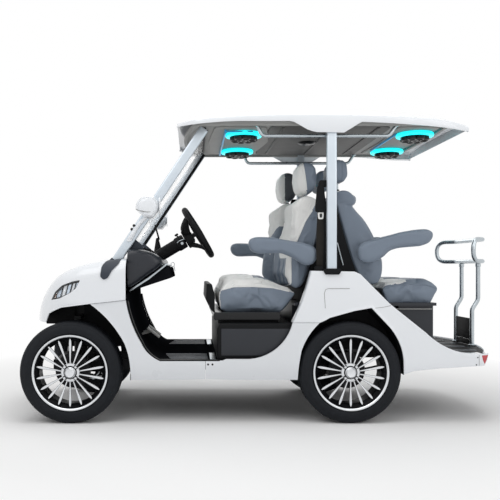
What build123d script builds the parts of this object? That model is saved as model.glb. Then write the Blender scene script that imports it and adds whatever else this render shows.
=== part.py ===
"""An open four-seat golf cart: two forward seats, two rearward seats, a fixed roof and a rear step.

Millimetres. X points to the front of the cart, Y to its left side, Z up.
The origin is on the ground, under the middle of the cart's overall length and width.
"""

import os
from math import cos, hypot, radians, sin

from build123d import *

# ---------------------------------------------------------------- driving sizes
BODY_HALF_WIDTH = 585.0

# running gear
FRONT_AXLE_X = 1160.0
REAR_AXLE_X = -505.0
TYRE_RADIUS = 302.0
TYRE_WIDTH = 190.0
WHEEL_Y = BODY_HALF_WIDTH - 95  # centre plane of a tyre
BEAD_RADIUS = TYRE_RADIUS - 99
BEAD_GAP = 0.3
RIM_LIP_RADIUS = BEAD_RADIUS + 17
RIM_WALL = 6.0
SPOKE_COUNT = 18
SPOKE_ROOT_WIDTH = 7.0
SPOKE_TIP_WIDTH = 30.0
SPOKE_DEPTH = 16.0
HUB_RADIUS = 50.0
CAP_RADIUS = 32.0
KINGPIN_Y = WHEEL_Y - 90
STUB_RADIUS = 15.0
RUNNING_GAP = 0.05              # radial clearance of a shaft that turns in a bore
STEER_ARM = 110.0               # kingpin to tie-rod eye

# chassis
RAIL_Y = 180.0
RAIL_WIDTH = 44.0
RAIL_HEIGHT = 64.0
RAIL_LOW_Z = 268.0
AXLE_TUBE_RADIUS = 36.0
RAIL_HIGH_Z = TYRE_RADIUS + AXLE_TUBE_RADIUS + 8   # over the rear axle
SPRING_GAP = 0.5
KINGPIN_RADIUS = 10.0
FORK_PLATE = 16.0
FORK_TOP_Z = 364.0
RACK_Z = 243.0
RACK_RADIUS = 11.0
HUB_FACE_Y = 80.0               # outboard face of the spokes, from the tyre's centre plane
MOTOR_Z = 262.0
MOTOR_RADIUS = 78.0

# body
PANEL_THICKNESS = 26.0          # side and sill panels, flanges included
SKIN = 5.0                      # moulded skin of the cowl
SEAM = 2.0                      # open line between two body panels
SILL_BOTTOM_Z = 258.0
FLOOR_Z = 374.0
FLOOR_THICKNESS = 12.0
SILL_SEAM_X = 357.0
COWL_REAR_X = 830.0
QUARTER_DEPTH = 80.0
QUARTER_WALL = 8.0
DECK_Z = 410.0
DECK_THICKNESS = 14.0
TAIL_X = -1450.0                # middle of the rear edge
TAIL_CORNER_X = -1311.0
TAIL_PANEL_THICKNESS = 12.0
TAIL_HALF_WIDTH = BODY_HALF_WIDTH - QUARTER_DEPTH - 5
RIB = 4.0                       # height of the tread ribs and of the bosses under the rail's feet

# roof
ROOF_HALF_WIDTH = BODY_HALF_WIDTH + 5
ROOF_SKIN = 6.0
LINER_Z = 1783.0
LINER_THICKNESS = 14.0
POD_RADIUS = 116.0
POD_DEPTH = 42.0
POD_Y = 300.0
POD_X = (110.0, -974.0)
LINER_RIM = 24.0
STRUT_Y = BODY_HALF_WIDTH - 123
STRUT_WIDTH = 56.0
STRUT_FOOT = (930.0, 920.0)     # X, Z on its centre line
STRUT_TOP = (340.0, 1806.0)
STRUT_THICKNESS = 34.0
GLASS = 5.0
PILLAR_Y = BODY_HALF_WIDTH - 23
PILLAR_FOOT_Z = 905.0
PILLAR_X = -392.0
PILLAR_LENGTH = 58.0            # along X
PILLAR_THICKNESS = 40.0         # along Y
GRAB_RADIUS = 11.0
GRAB_Y = BODY_HALF_WIDTH - 63
GRAB_Z = 1716.0

# seats
SEAT_INNER_Y = 12.0
SEAT_OUTER_Y = BODY_HALF_WIDTH - 130
ARM_INNER_Y = SEAT_OUTER_Y + 12
ARM_OUTER_Y = ARM_INNER_Y + 68
ARM_PIN_RADIUS = 12.0
PASSENGER_SHIFT = 50.0          # the right front back sits this much further forward
HEADREST_HALF_WIDTH = 118.0

# controls
STEER_Y = 240.0
STEER_CENTRE = (399.0, 1150.0)  # X, Z of the middle of the hand wheel
STEER_RADIUS = 165.0
STEER_TUBE = 13.0
STEER_RAKE = 31.0               # column below the horizontal

# rear rail
RAIL_TUBE = 14.0
RAIL_X = -1448.0
RAIL_END_X = -1341.0
RAIL_END_Y = 312.0
RAIL_BEND_Y = 215.0
RAIL_TOP_Z = 1108.0
RAIL_BOTTOM_Z = 967.0
POST_Y = 133.0
POST_FOOT_X = -1408.0

# side outlines in X and Z
DASH_OUTLINE = ((829, 1040), (749, 1040), (660, 1010, 629, 947), (640, 905, 700, 858), (829, 790))
SHELF_OUTLINE = ((829, 786), (700, 854), (584, 945), (559, 862), (694, 819), (829, 776))

OUT = "parts"


# ---------------------------------------------------------------- small helpers
def profile(start, *steps):
    """A closed face: (a, b) is a straight run to a point, (am, bm, a, b) an arc through a middle point."""
    edges = []
    here = start
    for step in steps:
        end = step[-2:]
        if len(step) == 2:
            edges.append(Line(here, end))
        else:
            edges.append(ThreePointArc(here, step[:2], end))
        here = end
    if here != start:
        edges.append(Line(here, start))
    return make_face(edges)


def across(face, low_y, high_y):
    """A side-view face, drawn in X and Z, made solid between two Y planes."""
    return extrude(Plane.XZ.offset(-high_y) * face, amount=high_y - low_y)


def upward(face, low_z, high_z):
    """A plan-view face, drawn in X and Y, made solid between two heights."""
    return extrude(Plane.XY.offset(low_z) * face, amount=high_z - low_z)


def box(x, y, z):
    """A block from three (low, high) pairs."""
    return Pos(sum(x) / 2, sum(y) / 2, sum(z) / 2) * Box(x[1] - x[0], y[1] - y[0], z[1] - z[0])


def soften(face, radius):
    """The same outline with its corners rounded, both outward and inward ones."""
    opened = offset(offset(face, amount=-radius), amount=radius)
    return offset(offset(opened, amount=radius), amount=-radius)


def pad(outline, low_y, high_y, edge):
    """A stuffed form: a side outline with soft corners, round at both ends."""
    solid = across(soften(profile(*outline), edge + 4), low_y, high_y)
    ends = solid.faces().sort_by(Axis.Y)
    return fillet(ends[0].edges() + ends[-1].edges(), edge)


def rod(a, b, radius):
    """A round bar between two points."""
    start, end = Vector(*a), Vector(*b)
    along = end - start
    return extrude(Plane(start, z_dir=along) * Circle(radius), amount=along.length)


def tube_along(points, radii, radius):
    """A round bar along straight runs joined by arcs."""
    path = FilletPolyline(*points, radius=radii)
    return sweep(Plane(origin=path @ 0, z_dir=path % 0) * Circle(radius), path=path)


def flip(solid):
    """The same piece on the other side of the cart."""
    return mirror(solid, about=Plane.XZ)


def save(name, *solids):
    """One node: its solids, which don't touch each other."""
    pieces = []
    for solid in solids:
        pieces.extend(solid.solids())
    shape = pieces[0] if len(pieces) == 1 else Compound(children=pieces)
    export_step(shape, os.path.join(OUT, name + ".step"))


# ---------------------------------------------------------------- wheels
def tyre(y, side):
    """A low-profile tyre about the Y axis through the origin; side is +1 on the left."""
    half = TYRE_WIDTH / 2
    bead = BEAD_RADIUS + BEAD_GAP
    section = profile(
        (bead, -0.74 * half),
        (bead, 0.74 * half),
        (BEAD_RADIUS + 45, half, TYRE_RADIUS - 22, 0.9 * half),
        (TYRE_RADIUS - 5, 0.82 * half, TYRE_RADIUS, 0.66 * half),
        (TYRE_RADIUS, -0.66 * half),
        (TYRE_RADIUS - 5, -0.82 * half, TYRE_RADIUS - 22, -0.9 * half),
        (BEAD_RADIUS + 45, -half, bead, -0.74 * half),
    )
    return Pos(0, y, 0) * revolve(section, axis=Axis.Y)


def road_wheel(side):
    """A cast wheel: barrel, lip, eighteen blades that widen outwards, hub and centre cap."""
    half = TYRE_WIDTH / 2
    inner = BEAD_RADIUS - RIM_WALL
    lip_y = half - 1
    ring = profile(
        (inner, -0.86 * half),
        (BEAD_RADIUS, -0.86 * half),
        (BEAD_RADIUS, 0.8 * half),
        (RIM_LIP_RADIUS - 7, lip_y - 8),
        (RIM_LIP_RADIUS, lip_y - 3),
        (RIM_LIP_RADIUS, lip_y),
        (RIM_LIP_RADIUS - 12, lip_y),
        (inner, 0.78 * half),
    )
    body = revolve(ring, axis=Axis.Y)
    face_y = HUB_FACE_Y
    hub = rod((0, 10, 0), (0, face_y, 0), HUB_RADIUS) + rod((0, face_y, 0), (0, lip_y, 0), CAP_RADIUS)
    blade_face = profile(
        (HUB_RADIUS - 6, -SPOKE_ROOT_WIDTH / 2),
        (inner + 3, -SPOKE_TIP_WIDTH / 2),
        (inner + 3, SPOKE_TIP_WIDTH / 2),
        (HUB_RADIUS - 6, SPOKE_ROOT_WIDTH / 2),
    )
    blade = across(blade_face, face_y - SPOKE_DEPTH, face_y)
    for n in range(SPOKE_COUNT):
        body += Rot(0, 360 / SPOKE_COUNT * n, 0) * blade
    body += hub
    bore = rod((0, 0, 0), (0, face_y - 14, 0), STUB_RADIUS + RUNNING_GAP)
    body -= bore
    return body if side > 0 else flip(body)


def build_wheels():
    corners = (
        # end, axle X
        ("front", FRONT_AXLE_X),
        ("rear", REAR_AXLE_X),
    )
    for end, axle_x in corners:
        for name, side in (("left", 1), ("right", -1)):
            place = Pos(axle_x, side * WHEEL_Y, TYRE_RADIUS)
            save(f"tyre_{end}_{name}", place * tyre(0, side))
            save(f"wheel_{end}_{name}", place * road_wheel(side))


# ---------------------------------------------------------------- chassis
def build_chassis():
    low = (RAIL_LOW_Z, RAIL_LOW_Z + RAIL_HEIGHT)
    high = (RAIL_HIGH_Z, RAIL_HIGH_Z + 46)
    side = profile(
        (1330, low[0]), (1330, low[1]), (-150, low[1]), (-245, high[1]), (-1370, high[1]),
        (-1370, high[0]), (-215, high[0]), (-120, low[0]),
    )
    rails = across(side, RAIL_Y, RAIL_Y + RAIL_WIDTH) + across(side, -RAIL_Y - RAIL_WIDTH, -RAIL_Y)
    cross = (
        # low X, high X, half width, low Z, high Z
        (1290, 1330, RAIL_Y, low[0], low[1]),
        (560, 600, BODY_HALF_WIDTH - 45, low[0], low[1]),
        (-80, -40, BODY_HALF_WIDTH - 45, low[0], low[1]),
        (-320, -280, RAIL_Y, high[0], high[1]),
        (-1080, -1040, RAIL_Y, high[0], high[1]),
        (-1370, -1330, 300, high[0], high[1]),
    )
    frame = rails
    for x0, x1, half, z0, z1 in cross:
        frame += box((x0, x1), (-half, half), (z0, z1))
    tower = box((1120, 1200), (RAIL_Y - 60, RAIL_Y), (low[0], 700))
    frame += tower + flip(tower)
    save("chassis_frame", frame)
    save("battery_pack", box((-120, 170), (-240, 240), (FLOOR_Z, 580)))

    # front beam: a fork and kingpin at each end, and the rack's housing behind it
    beam_z = RAIL_LOW_Z - 40
    half_beam = 22
    fork_out = KINGPIN_Y + 12
    fork_in = KINGPIN_Y - 75
    fork = box((-half_beam, half_beam), (fork_in, fork_out), (beam_z, beam_z + FORK_PLATE))
    fork += box((-half_beam, half_beam), (fork_in, fork_out), (FORK_TOP_Z, FORK_TOP_Z + FORK_PLATE))
    fork += box((-half_beam, half_beam), (fork_in, fork_in + 18), (beam_z, FORK_TOP_Z + FORK_PLATE))
    fork += rod((0, KINGPIN_Y, beam_z + FORK_PLATE), (0, KINGPIN_Y, FORK_TOP_Z), KINGPIN_RADIUS)
    beam = box((-half_beam, half_beam), (-fork_in, fork_in), (beam_z, RAIL_LOW_Z)) + fork + flip(fork)
    housing = rod((-STEER_ARM, -150, RACK_Z), (-STEER_ARM, 150, RACK_Z), 23)
    housing += box((-STEER_ARM - 15, -STEER_ARM + 15), (-150, 150), (RACK_Z, RAIL_LOW_Z))
    housing += box((-STEER_ARM - 15, 0), (60, 90), (beam_z + 6, RAIL_LOW_Z - 6))
    housing += box((-STEER_ARM - 15, -STEER_ARM + 15), (-RAIL_Y - 20, RAIL_Y + 20), (RAIL_LOW_Z - 8, RAIL_LOW_Z))
    beam += housing
    beam -= rod((-STEER_ARM, -160, RACK_Z), (-STEER_ARM, 160, RACK_Z), RACK_RADIUS + RUNNING_GAP)
    save("front_axle_beam", Pos(FRONT_AXLE_X, 0, 0) * beam)
    end_y = KINGPIN_Y - 17
    bar = rod((0, -end_y, RACK_Z), (0, end_y, RACK_Z), RACK_RADIUS)
    save("rack_bar", Pos(FRONT_AXLE_X - STEER_ARM, 0, 0) * bar)

    knuckle = rod((0, KINGPIN_Y, beam_z + FORK_PLATE + 1), (0, KINGPIN_Y, FORK_TOP_Z - 1), 21)
    eye_z = (beam_z + FORK_PLATE + 1, beam_z + FORK_PLATE + 15)
    knuckle += box((-STEER_ARM, 0), (KINGPIN_Y - 10, KINGPIN_Y + 10), eye_z)
    knuckle += rod((-STEER_ARM, KINGPIN_Y, eye_z[0]), (-STEER_ARM, KINGPIN_Y, eye_z[1]), 13)
    stub_end = WHEEL_Y + HUB_FACE_Y - 15
    knuckle += rod((0, KINGPIN_Y, TYRE_RADIUS), (0, stub_end, TYRE_RADIUS), STUB_RADIUS)
    knuckle += rod((0, KINGPIN_Y + 32, TYRE_RADIUS), (0, KINGPIN_Y + 78, TYRE_RADIUS), 105)
    knuckle -= rod((0, KINGPIN_Y, beam_z), (0, KINGPIN_Y, FORK_TOP_Z + 20), KINGPIN_RADIUS + RUNNING_GAP)
    knuckle = Pos(FRONT_AXLE_X, 0, 0) * knuckle
    save("knuckle_left", knuckle)
    save("knuckle_right", flip(knuckle))

    drum_y = WHEEL_Y - 104
    axle = rod((0, -drum_y, TYRE_RADIUS), (0, drum_y, TYRE_RADIUS), AXLE_TUBE_RADIUS)
    axle += rod((0, -85, TYRE_RADIUS - 12), (0, 85, TYRE_RADIUS - 12), 88)
    axle += rod((60, 0, MOTOR_Z), (350, 0, MOTOR_Z), MOTOR_RADIUS)
    drum = rod((0, drum_y, TYRE_RADIUS), (0, WHEEL_Y - 20, TYRE_RADIUS), 110)
    drum += rod((0, WHEEL_Y - 20, TYRE_RADIUS), (0, stub_end, TYRE_RADIUS), STUB_RADIUS)
    axle += drum
    axle += flip(drum)
    save("rear_axle", Pos(REAR_AXLE_X, 0, 0) * axle)

    # springs pass under the axle tube and hang from the outside of the rails
    spring_top = TYRE_RADIUS - AXLE_TUBE_RADIUS - SPRING_GAP
    eye = TYRE_RADIUS + 28
    spring_y = (RAIL_Y + RAIL_WIDTH, RAIL_Y + RAIL_WIDTH + 55)
    leaf = profile(
        (-355, eye), (0, spring_top, 355, eye), (355, eye - 12), (0, spring_top - 12, -355, eye - 12),
    )
    spring = across(leaf, *spring_y)
    for x in (-355, 355):
        spring += box((x - 14, x + 14), spring_y, (eye - 14, eye + 50))
    spring = Pos(REAR_AXLE_X, 0, 0) * spring
    front_damper = rod((FRONT_AXLE_X, 290, RAIL_LOW_Z), (FRONT_AXLE_X, 290, 600), 24)
    front_damper += box((FRONT_AXLE_X - 20, FRONT_AXLE_X + 20), (RAIL_Y, 315), (600, 620))
    save("springs", spring, flip(spring), front_damper, flip(front_damper))


# ---------------------------------------------------------------- front body
def cowl_form(inset):
    """The cowl as a closed form, every face drawn in by inset."""
    stations = (
        # X, half width, shoulder height, shoulder radius, crown height
        (1440, BODY_HALF_WIDTH - 435, 600, 25, 645),
        (1400, BODY_HALF_WIDTH - 295, 645, 50, 716),
        (1330, BODY_HALF_WIDTH - 160, 735, 65, 822),
        (1255, BODY_HALF_WIDTH - 65, 795, 75, 888),
        (1130, BODY_HALF_WIDTH - 10, 845, 85, 948),
        (1000, BODY_HALF_WIDTH, 870, 90, 980),
        (COWL_REAR_X, BODY_HALF_WIDTH, 890, 90, 1006),
    )
    low = 400 if inset <= 0 else 380    # an inner form reaches further down, so it cuts right through
    faces = []
    for n, (x, half, shoulder, radius, crown) in enumerate(stations):
        at_x = x - inset if n == 0 else x
        half, shoulder, crown = half - inset, shoulder - inset, crown - inset
        bend = radius * (1 - cos(radians(45)))
        section = profile(
            (-half, low), (half, low), (half, shoulder),
            (half - bend, shoulder + radius - bend, half - radius, shoulder + radius),
            (0, crown, -half + radius, shoulder + radius),
            (-half + bend, shoulder + radius - bend, -half, shoulder),
        )
        faces.append(Plane(origin=(at_x, 0, 0), x_dir=(0, 1, 0), z_dir=(1, 0, 0)) * section)
    return loft(faces, ruled=True)


def beside_wheel(axle_x, angle, gap):
    """A point outside a tyre: at an angle above the horizontal about its axle, gap away from its tread."""
    reach = TYRE_RADIUS + gap
    return axle_x + reach * cos(radians(angle)), TYRE_RADIUS + reach * sin(radians(angle))


# wheel openings from the rear foot to the front one: angle, gap to the tyre
SILL_FOOT, ARCH_FOOT, ARCH_REAR, ARCH_TOP, COWL_CORNER = (
    beside_wheel(FRONT_AXLE_X, *place)
    for place in ((187.03, 57.7), (167.51, 58.5), (151.07, 65.9), (127.7, 82.2), (106.48, 124.5))
)
COWL_EDGE = tuple(
    beside_wheel(FRONT_AXLE_X, *place)
    for place in ((94.74, 97.4), (81.75, 88.0), (72.33, 76.9), (68.67, 60.9), (64.21, 29.0), (59.27, 30.7))
)
REAR_FOOT, REAR_LOW, REAR_FRONT, REAR_RISE, PANEL_END, QUARTER_START, CREST, PEAK, FALL, BACK, BACK_LOW, BACK_FOOT = (
    beside_wheel(REAR_AXLE_X, *place)
    for place in (
        (-7.95, 16.1), (10.66, 11.4), (25.06, 21.4), (43.8, 34.7), (57.35, 48.4), (68.56, 48.2), (92.96, 65.5),
        (107.31, 101.3), (126.9, 54.4), (148.01, 34.0), (165.88, 17.7), (182.23, 11.2),
    )
)
NOSE_LOW_Z = 587.0


def under_cowl():
    """Everything below the cowl's lower edge, seen from the side."""
    rear = COWL_REAR_X - 10
    return profile(
        (1500, NOSE_LOW_Z), *reversed(COWL_EDGE), COWL_CORNER, (rear, COWL_CORNER[1] + 23), (rear, 300), (1500, 300),
    )


LAMP_OUTLINE = ((1290, 731), (1248, 791), (1212, 824), (1158, 839), (1104, 851), (1128, 815), (1146, 785), (1194, 761))
BOOT_OUTLINE = (
    (979, 872), (968, 935), (947, 968), (905, 985), (870, 1010), (848, 1010), (868, 950), (911, 908), (929, 865),
    (959, 852),
)


def strut():
    """The left windscreen strut, a flat-sided tube leaning back."""
    run_x, run_z = STRUT_TOP[0] - STRUT_FOOT[0], STRUT_TOP[1] - STRUT_FOOT[1]
    length = hypot(run_x, run_z)
    side_x, side_z = run_z / length * STRUT_WIDTH / 2, -run_x / length * STRUT_WIDTH / 2
    band = profile(
        (STRUT_FOOT[0] - side_x, STRUT_FOOT[1] - side_z), (STRUT_FOOT[0] + side_x, STRUT_FOOT[1] + side_z),
        (STRUT_TOP[0] + side_x, STRUT_TOP[1] + side_z), (STRUT_TOP[0] - side_x, STRUT_TOP[1] - side_z),
    )
    bar = across(band, STRUT_Y - STRUT_THICKNESS / 2, STRUT_Y + STRUT_THICKNESS / 2)
    return bar - box((0, 1200), (0, 600), (LINER_Z, 2000))


def build_front_body():
    cowl = cowl_form(0) - cowl_form(SKIN)
    wide = BODY_HALF_WIDTH + 30
    cowl -= box((COWL_REAR_X - 20, COWL_REAR_X), (-wide, wide), (300, 1100))
    cowl -= across(under_cowl(), -wide, wide)
    lamp_y = (BODY_HALF_WIDTH - 335, BODY_HALF_WIDTH + 15)
    lamp = (cowl_form(-3) & across(profile(*LAMP_OUTLINE), *lamp_y)) - cowl_form(28)
    window = across(offset(profile(*LAMP_OUTLINE), amount=SEAM), *lamp_y)
    cowl -= window
    cowl -= flip(window)
    save("headlamps", lamp, flip(lamp))
    boot_prism = across(profile(*BOOT_OUTLINE), BODY_HALF_WIDTH - 160, BODY_HALF_WIDTH + 15)
    boot = (cowl_form(-9) & boot_prism) - cowl_form(0) - box((COWL_REAR_X - 40, COWL_REAR_X), (0, 700), (500, 1200))
    boot -= strut()
    post = strut() - cowl_form(0)
    save("front_cowl", cowl)
    save("strut_boots", boot, flip(boot))
    save("front_struts", post, flip(post))


# ---------------------------------------------------------------- side panels
def both(solid):
    return solid, flip(solid)


def front_arch_opening():
    """The front wheel opening, closed along the ground side."""
    foot = COWL_EDGE[4]
    return profile(
        (foot[0], SILL_BOTTOM_Z), *reversed(COWL_EDGE[:5]), COWL_CORNER, (*ARCH_TOP, *ARCH_REAR),
        (*ARCH_FOOT, *SILL_FOOT),
    )


def rear_arch_opening():
    """The rear wheel opening."""
    return profile(
        (BACK_FOOT[0], 200), BACK_LOW, (*BACK, *FALL), PEAK, CREST, QUARTER_START, (*REAR_RISE, *REAR_FRONT),
        (*REAR_LOW, *REAR_FOOT), (REAR_FOOT[0], 200),
    )


def front_side_face():
    """From the wheel opening and the cowl's seam back to the sill's middle seam."""
    seam_x = SILL_SEAM_X + SEAM / 2
    return profile(
        SILL_FOOT, (*ARCH_FOOT, *ARCH_REAR), (*ARCH_TOP, COWL_CORNER[0], COWL_CORNER[1] - SEAM),
        (829, COWL_CORNER[1] + 23 - SEAM), (809, 640, 738, 478), (690, 412, 626, FLOOR_Z), (seam_x, FLOOR_Z),
        (seam_x, SILL_BOTTOM_Z + 6), (SILL_SEAM_X + 160, SILL_BOTTOM_Z),
    )


def rear_side_face():
    """From the sill's middle seam to the rear wheel opening, up to the quarter panel."""
    seam_x = SILL_SEAM_X - SEAM / 2
    return profile(
        (seam_x, SILL_BOTTOM_Z + 6), (seam_x, FLOOR_Z), (254, FLOOR_Z), (235, 383), (94, 383), (-60, 442, -160, 597),
        PANEL_END, (*REAR_RISE, *REAR_FRONT), (*REAR_LOW, *REAR_FOOT), (200, SILL_BOTTOM_Z),
    )


def quarter_face():
    """Over the rear wheel: door opening, top ledge, falling line to the tail, and the wheel opening."""
    corner = (PANEL_END[0] - SEAM, PANEL_END[1] + SEAM)
    return profile(
        (-161, 597 + SEAM), (-225, 745, -272, 905), (-526, 900), (-560, 885), (-732, 712), (-791, 664),
        (-950, 537), (-1040, 468, -1130, 428), (-1215, 413, -1318, 420), (-1310, 380), (-1293, 344),
        (-1028, 328), (-880, 312), (BACK_FOOT[0], 290), BACK_LOW, (*BACK, *FALL), PEAK, CREST, QUARTER_START,
        (*beside_wheel(REAR_AXLE_X, 62.57, 45.0), *corner),
    )


def build_side_body():
    inner = BODY_HALF_WIDTH - PANEL_THICKNESS
    save("front_side_panels", *both(across(front_side_face(), inner, BODY_HALF_WIDTH)))
    save("rear_side_panels", *both(across(rear_side_face(), inner, BODY_HALF_WIDTH)))
    face = quarter_face()
    quarter = across(face, BODY_HALF_WIDTH - QUARTER_DEPTH, BODY_HALF_WIDTH)
    hollow = offset(face, amount=-QUARTER_WALL)
    quarter -= across(hollow, BODY_HALF_WIDTH - QUARTER_DEPTH - 1, BODY_HALF_WIDTH - QUARTER_WALL)
    save("rear_quarters", *both(quarter))

    # arched inner liners, above the wheels; the front ones stop short of the cowl's skin
    past_cowl = box((SILL_FOOT[0], 1500), (0, BODY_HALF_WIDTH + 30), (600, 900)) - cowl_form(SKIN + SEAM)
    liners = []
    for opening, low_y, high_y in (
        (front_arch_opening(), RAIL_Y + RAIL_WIDTH + 8, inner - 1),
        (rear_arch_opening(), WHEEL_Y - 108, BODY_HALF_WIDTH - QUARTER_DEPTH - 1),
    ):
        arch = across(offset(opening, amount=4) - opening, low_y, high_y)
        arch -= box((-2000, 2000), (0, 700), (0, 300))
        arch -= box((1225, 1400), (0, 700), (0, 900))
        wall = across(opening, low_y, low_y + 4) - box((-2000, 2000), (0, 700), (0, 420))
        wall -= box((FRONT_AXLE_X - 30, FRONT_AXLE_X + 30), (0, 700), (580, 800))
        liners.extend(both(arch + wall - past_cowl))
    save("wheel_liners", *liners)


# ---------------------------------------------------------------- floor and rear deck
def tail_plan(inset):
    """The bowed rear of the step in plan, drawn forward by inset."""
    corner, half = TAIL_CORNER_X + inset, BODY_HALF_WIDTH
    return profile((-1000, half), (corner, half), (TAIL_X + inset, 0, corner, -half), (-1000, -half))


def build_floor():
    toe = (
        # the foot well's inner line from the dash down to the floor
        (829, 770), (809, 640, 738, 478), (690, 412, 626, FLOOR_Z),
    )
    t = FLOOR_THICKNESS
    face = profile(
        toe[0], toe[1], toe[2], (-130, FLOOR_Z), (-130, FLOOR_Z - t), (630, FLOOR_Z - t),
        (699, 402, 748, 471), (820, 636, 841, 770),
    )
    half = BODY_HALF_WIDTH - PANEL_THICKNESS
    tub = across(face, -half, half)
    for n in range(5):
        y = half - 14 - 52 * n
        rib = box((325, 610), (y - 9, y + 9), (FLOOR_Z, FLOOR_Z + RIB))
        tub += rib
        tub += flip(rib)
    save("floor_tub", tub)

    half = TAIL_HALF_WIDTH
    bow = profile((-1040, -half), (-1040, half), (-1500, half), (-1500, -half))
    deck = upward(bow, DECK_Z - DECK_THICKNESS, DECK_Z) & upward(tail_plan(TAIL_PANEL_THICKNESS), 300, 500)
    for n in range(7):
        x = -1070 - 38 * n
        deck += box((x - 6, x + 6), (-half + 30, half - 30), (DECK_Z, DECK_Z + RIB))
    for y in (-POST_Y, POST_Y):
        deck += rod((POST_FOOT_X, y, DECK_Z), (POST_FOOT_X, y, DECK_Z + RIB), RAIL_TUBE + 7)
    save("rear_deck", deck)

    tail = upward(tail_plan(0), 344, DECK_Z + 10) - upward(tail_plan(TAIL_PANEL_THICKNESS), 300, 500)
    tail -= box((TAIL_CORNER_X, 0), (-700, 700), (0, 900))
    tail &= box((-2000, 0), (-half, half), (0, 900))
    save("tail_panel", tail)


def dash_blocks():
    """The dash and the shelf under it, before anything is cut from them."""
    return (
        across(profile(*DASH_OUTLINE), -BODY_HALF_WIDTH + 57, BODY_HALF_WIDTH - 57),
        across(profile(*SHELF_OUTLINE), -BODY_HALF_WIDTH + 135, BODY_HALF_WIDTH - 135),
    )


def build_dash():
    upper, lower = dash_blocks()
    upper -= cowl_form(-1)
    upper -= strut()
    upper -= flip(strut())
    lower -= upper
    save("dash", upper)
    save("dash_lower", lower)


# ---------------------------------------------------------------- roof
def roof_form(inset):
    """The roof's outer form, open below, every face drawn in by inset."""
    stations = (
        # X, half width, lower edge, edge height, crown height
        (528, ROOF_HALF_WIDTH - 160, 1790, 1800, 1822),
        (450, ROOF_HALF_WIDTH - 30, 1774, 1796, 1846),
        (264, ROOF_HALF_WIDTH, 1786, 1812, 1882),
        (-46, ROOF_HALF_WIDTH, 1790, 1826, 1900),
        (-479, ROOF_HALF_WIDTH, 1788, 1826, 1902),
        (-850, ROOF_HALF_WIDTH, 1770, 1810, 1880),
        (-1097, ROOF_HALF_WIDTH - 5, 1748, 1784, 1850),
        (-1215, ROOF_HALF_WIDTH - 45, 1738, 1762, 1806),
    )
    faces = []
    last = len(stations) - 1
    for n, (x, half, low, edge, crown) in enumerate(stations):
        at_x = x - inset if n == 0 else x + inset if n == last else x
        half = half - inset
        edge, crown = edge - inset, crown - inset
        low = low - 200 if inset > 0 else low
        section = profile(
            (-half, low), (half, low), (half, edge - 4), (half - 4, edge + 6, half - 16, edge + 12),
            (0, crown, -half + 16, edge + 12), (-half + 4, edge + 6, -half, edge - 4),
        )
        faces.append(Plane(origin=(at_x, 0, 0), x_dir=(0, 1, 0), z_dir=(1, 0, 0)) * section)
    return loft(faces, ruled=True)


def build_roof():
    skin = roof_form(0) - roof_form(ROOF_SKIN)
    drop = across(
        profile((-150, 1800), (-158, 1788), (-200, 1772), (-247, 1743), (-289, 1722), (-465, 1719), (-507, 1752),
                (-542, 1776), (-560, 1786), (-562, 1800)),
        PILLAR_Y - PILLAR_THICKNESS / 2 + 34, ROOF_HALF_WIDTH - 1,
    )
    skin += drop
    skin += flip(drop)
    save("roof_skin", skin)

    half = ROOF_HALF_WIDTH - 24
    plan = profile(
        (430, 86 - half), (490, 0, 430, half - 86), (400, half - 18, 330, half), (-1020, half),
        (-1090, half - 18, -1112, half - 96), (-1126, 0, -1112, 96 - half), (-1090, 18 - half, -1020, -half),
        (330, -half), (400, 18 - half, 430, 86 - half),
    )
    below_skin = roof_form(ROOF_SKIN + 1)
    liner = upward(plan, LINER_Z, LINER_Z + LINER_THICKNESS) & below_skin
    rim = upward(plan, LINER_Z - 14, LINER_Z) - upward(offset(plan, amount=-LINER_RIM), LINER_Z - 15, LINER_Z + 1)
    rim &= below_skin
    for x in (250, -60, -330, -610, -830):
        liner += box((x - 12, x + 12), (126 - half, half - 126), (LINER_Z - 9, LINER_Z))
    posts = [box((PILLAR_X - 80, PILLAR_X + 80), (PILLAR_Y - 60, PILLAR_Y + 60), (1700, LINER_Z)),
             box((200, 520), (STRUT_Y - 40, STRUT_Y + 40), (1700, LINER_Z)),
             box((-820, 70), (GRAB_Y - 24, GRAB_Y + 24), (1690, LINER_Z))]
    for post in posts:
        rim -= post
        rim -= flip(post)
    save("headliner", liner, *rim.solids())

    pods = []
    for x in POD_X:
        for y in (POD_Y, -POD_Y):
            drum = rod((x, y, LINER_Z - POD_DEPTH + 14), (x, y, LINER_Z - 9), POD_RADIUS)
            core = rod((x, y, LINER_Z - POD_DEPTH - 6), (x, y, LINER_Z - POD_DEPTH + 14), 46)
            lobe = rod((62, 0, LINER_Z - POD_DEPTH), (62, 0, LINER_Z - POD_DEPTH + 14), 30)
            for n in range(8):
                core += Pos(x, y, 0) * Rot(0, 0, 45 * n) * lobe
            cap = rod((x, y, LINER_Z - 9), (x, y, LINER_Z), POD_RADIUS - 20)
            pods.append(drum + core + cap)
    save("roof_pods", *pods)

    pillar = box(
        (PILLAR_X - PILLAR_LENGTH / 2, PILLAR_X + PILLAR_LENGTH / 2),
        (PILLAR_Y - PILLAR_THICKNESS / 2, PILLAR_Y + PILLAR_THICKNESS / 2), (PILLAR_FOOT_Z, LINER_Z),
    )
    pillar = fillet(pillar.edges().filter_by(Axis.Z), 9)
    pillar += box(
        (PILLAR_X - 48, PILLAR_X + 48), (PILLAR_Y - 32, BODY_HALF_WIDTH - 2), (PILLAR_FOOT_Z, PILLAR_FOOT_Z + 26),
    )
    pillar -= drop
    save("rear_pillars", *both(pillar))

    path = [(44, GRAB_Y, LINER_Z), (19, GRAB_Y, GRAB_Z), (-746, GRAB_Y, GRAB_Z), (-790, GRAB_Y, LINER_Z)]
    rail = tube_along(path, [28, 28], GRAB_RADIUS)
    rail -= box((-900, 200), (0, 700), (LINER_Z, 1900))
    save("grab_rails", *both(rail))


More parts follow.
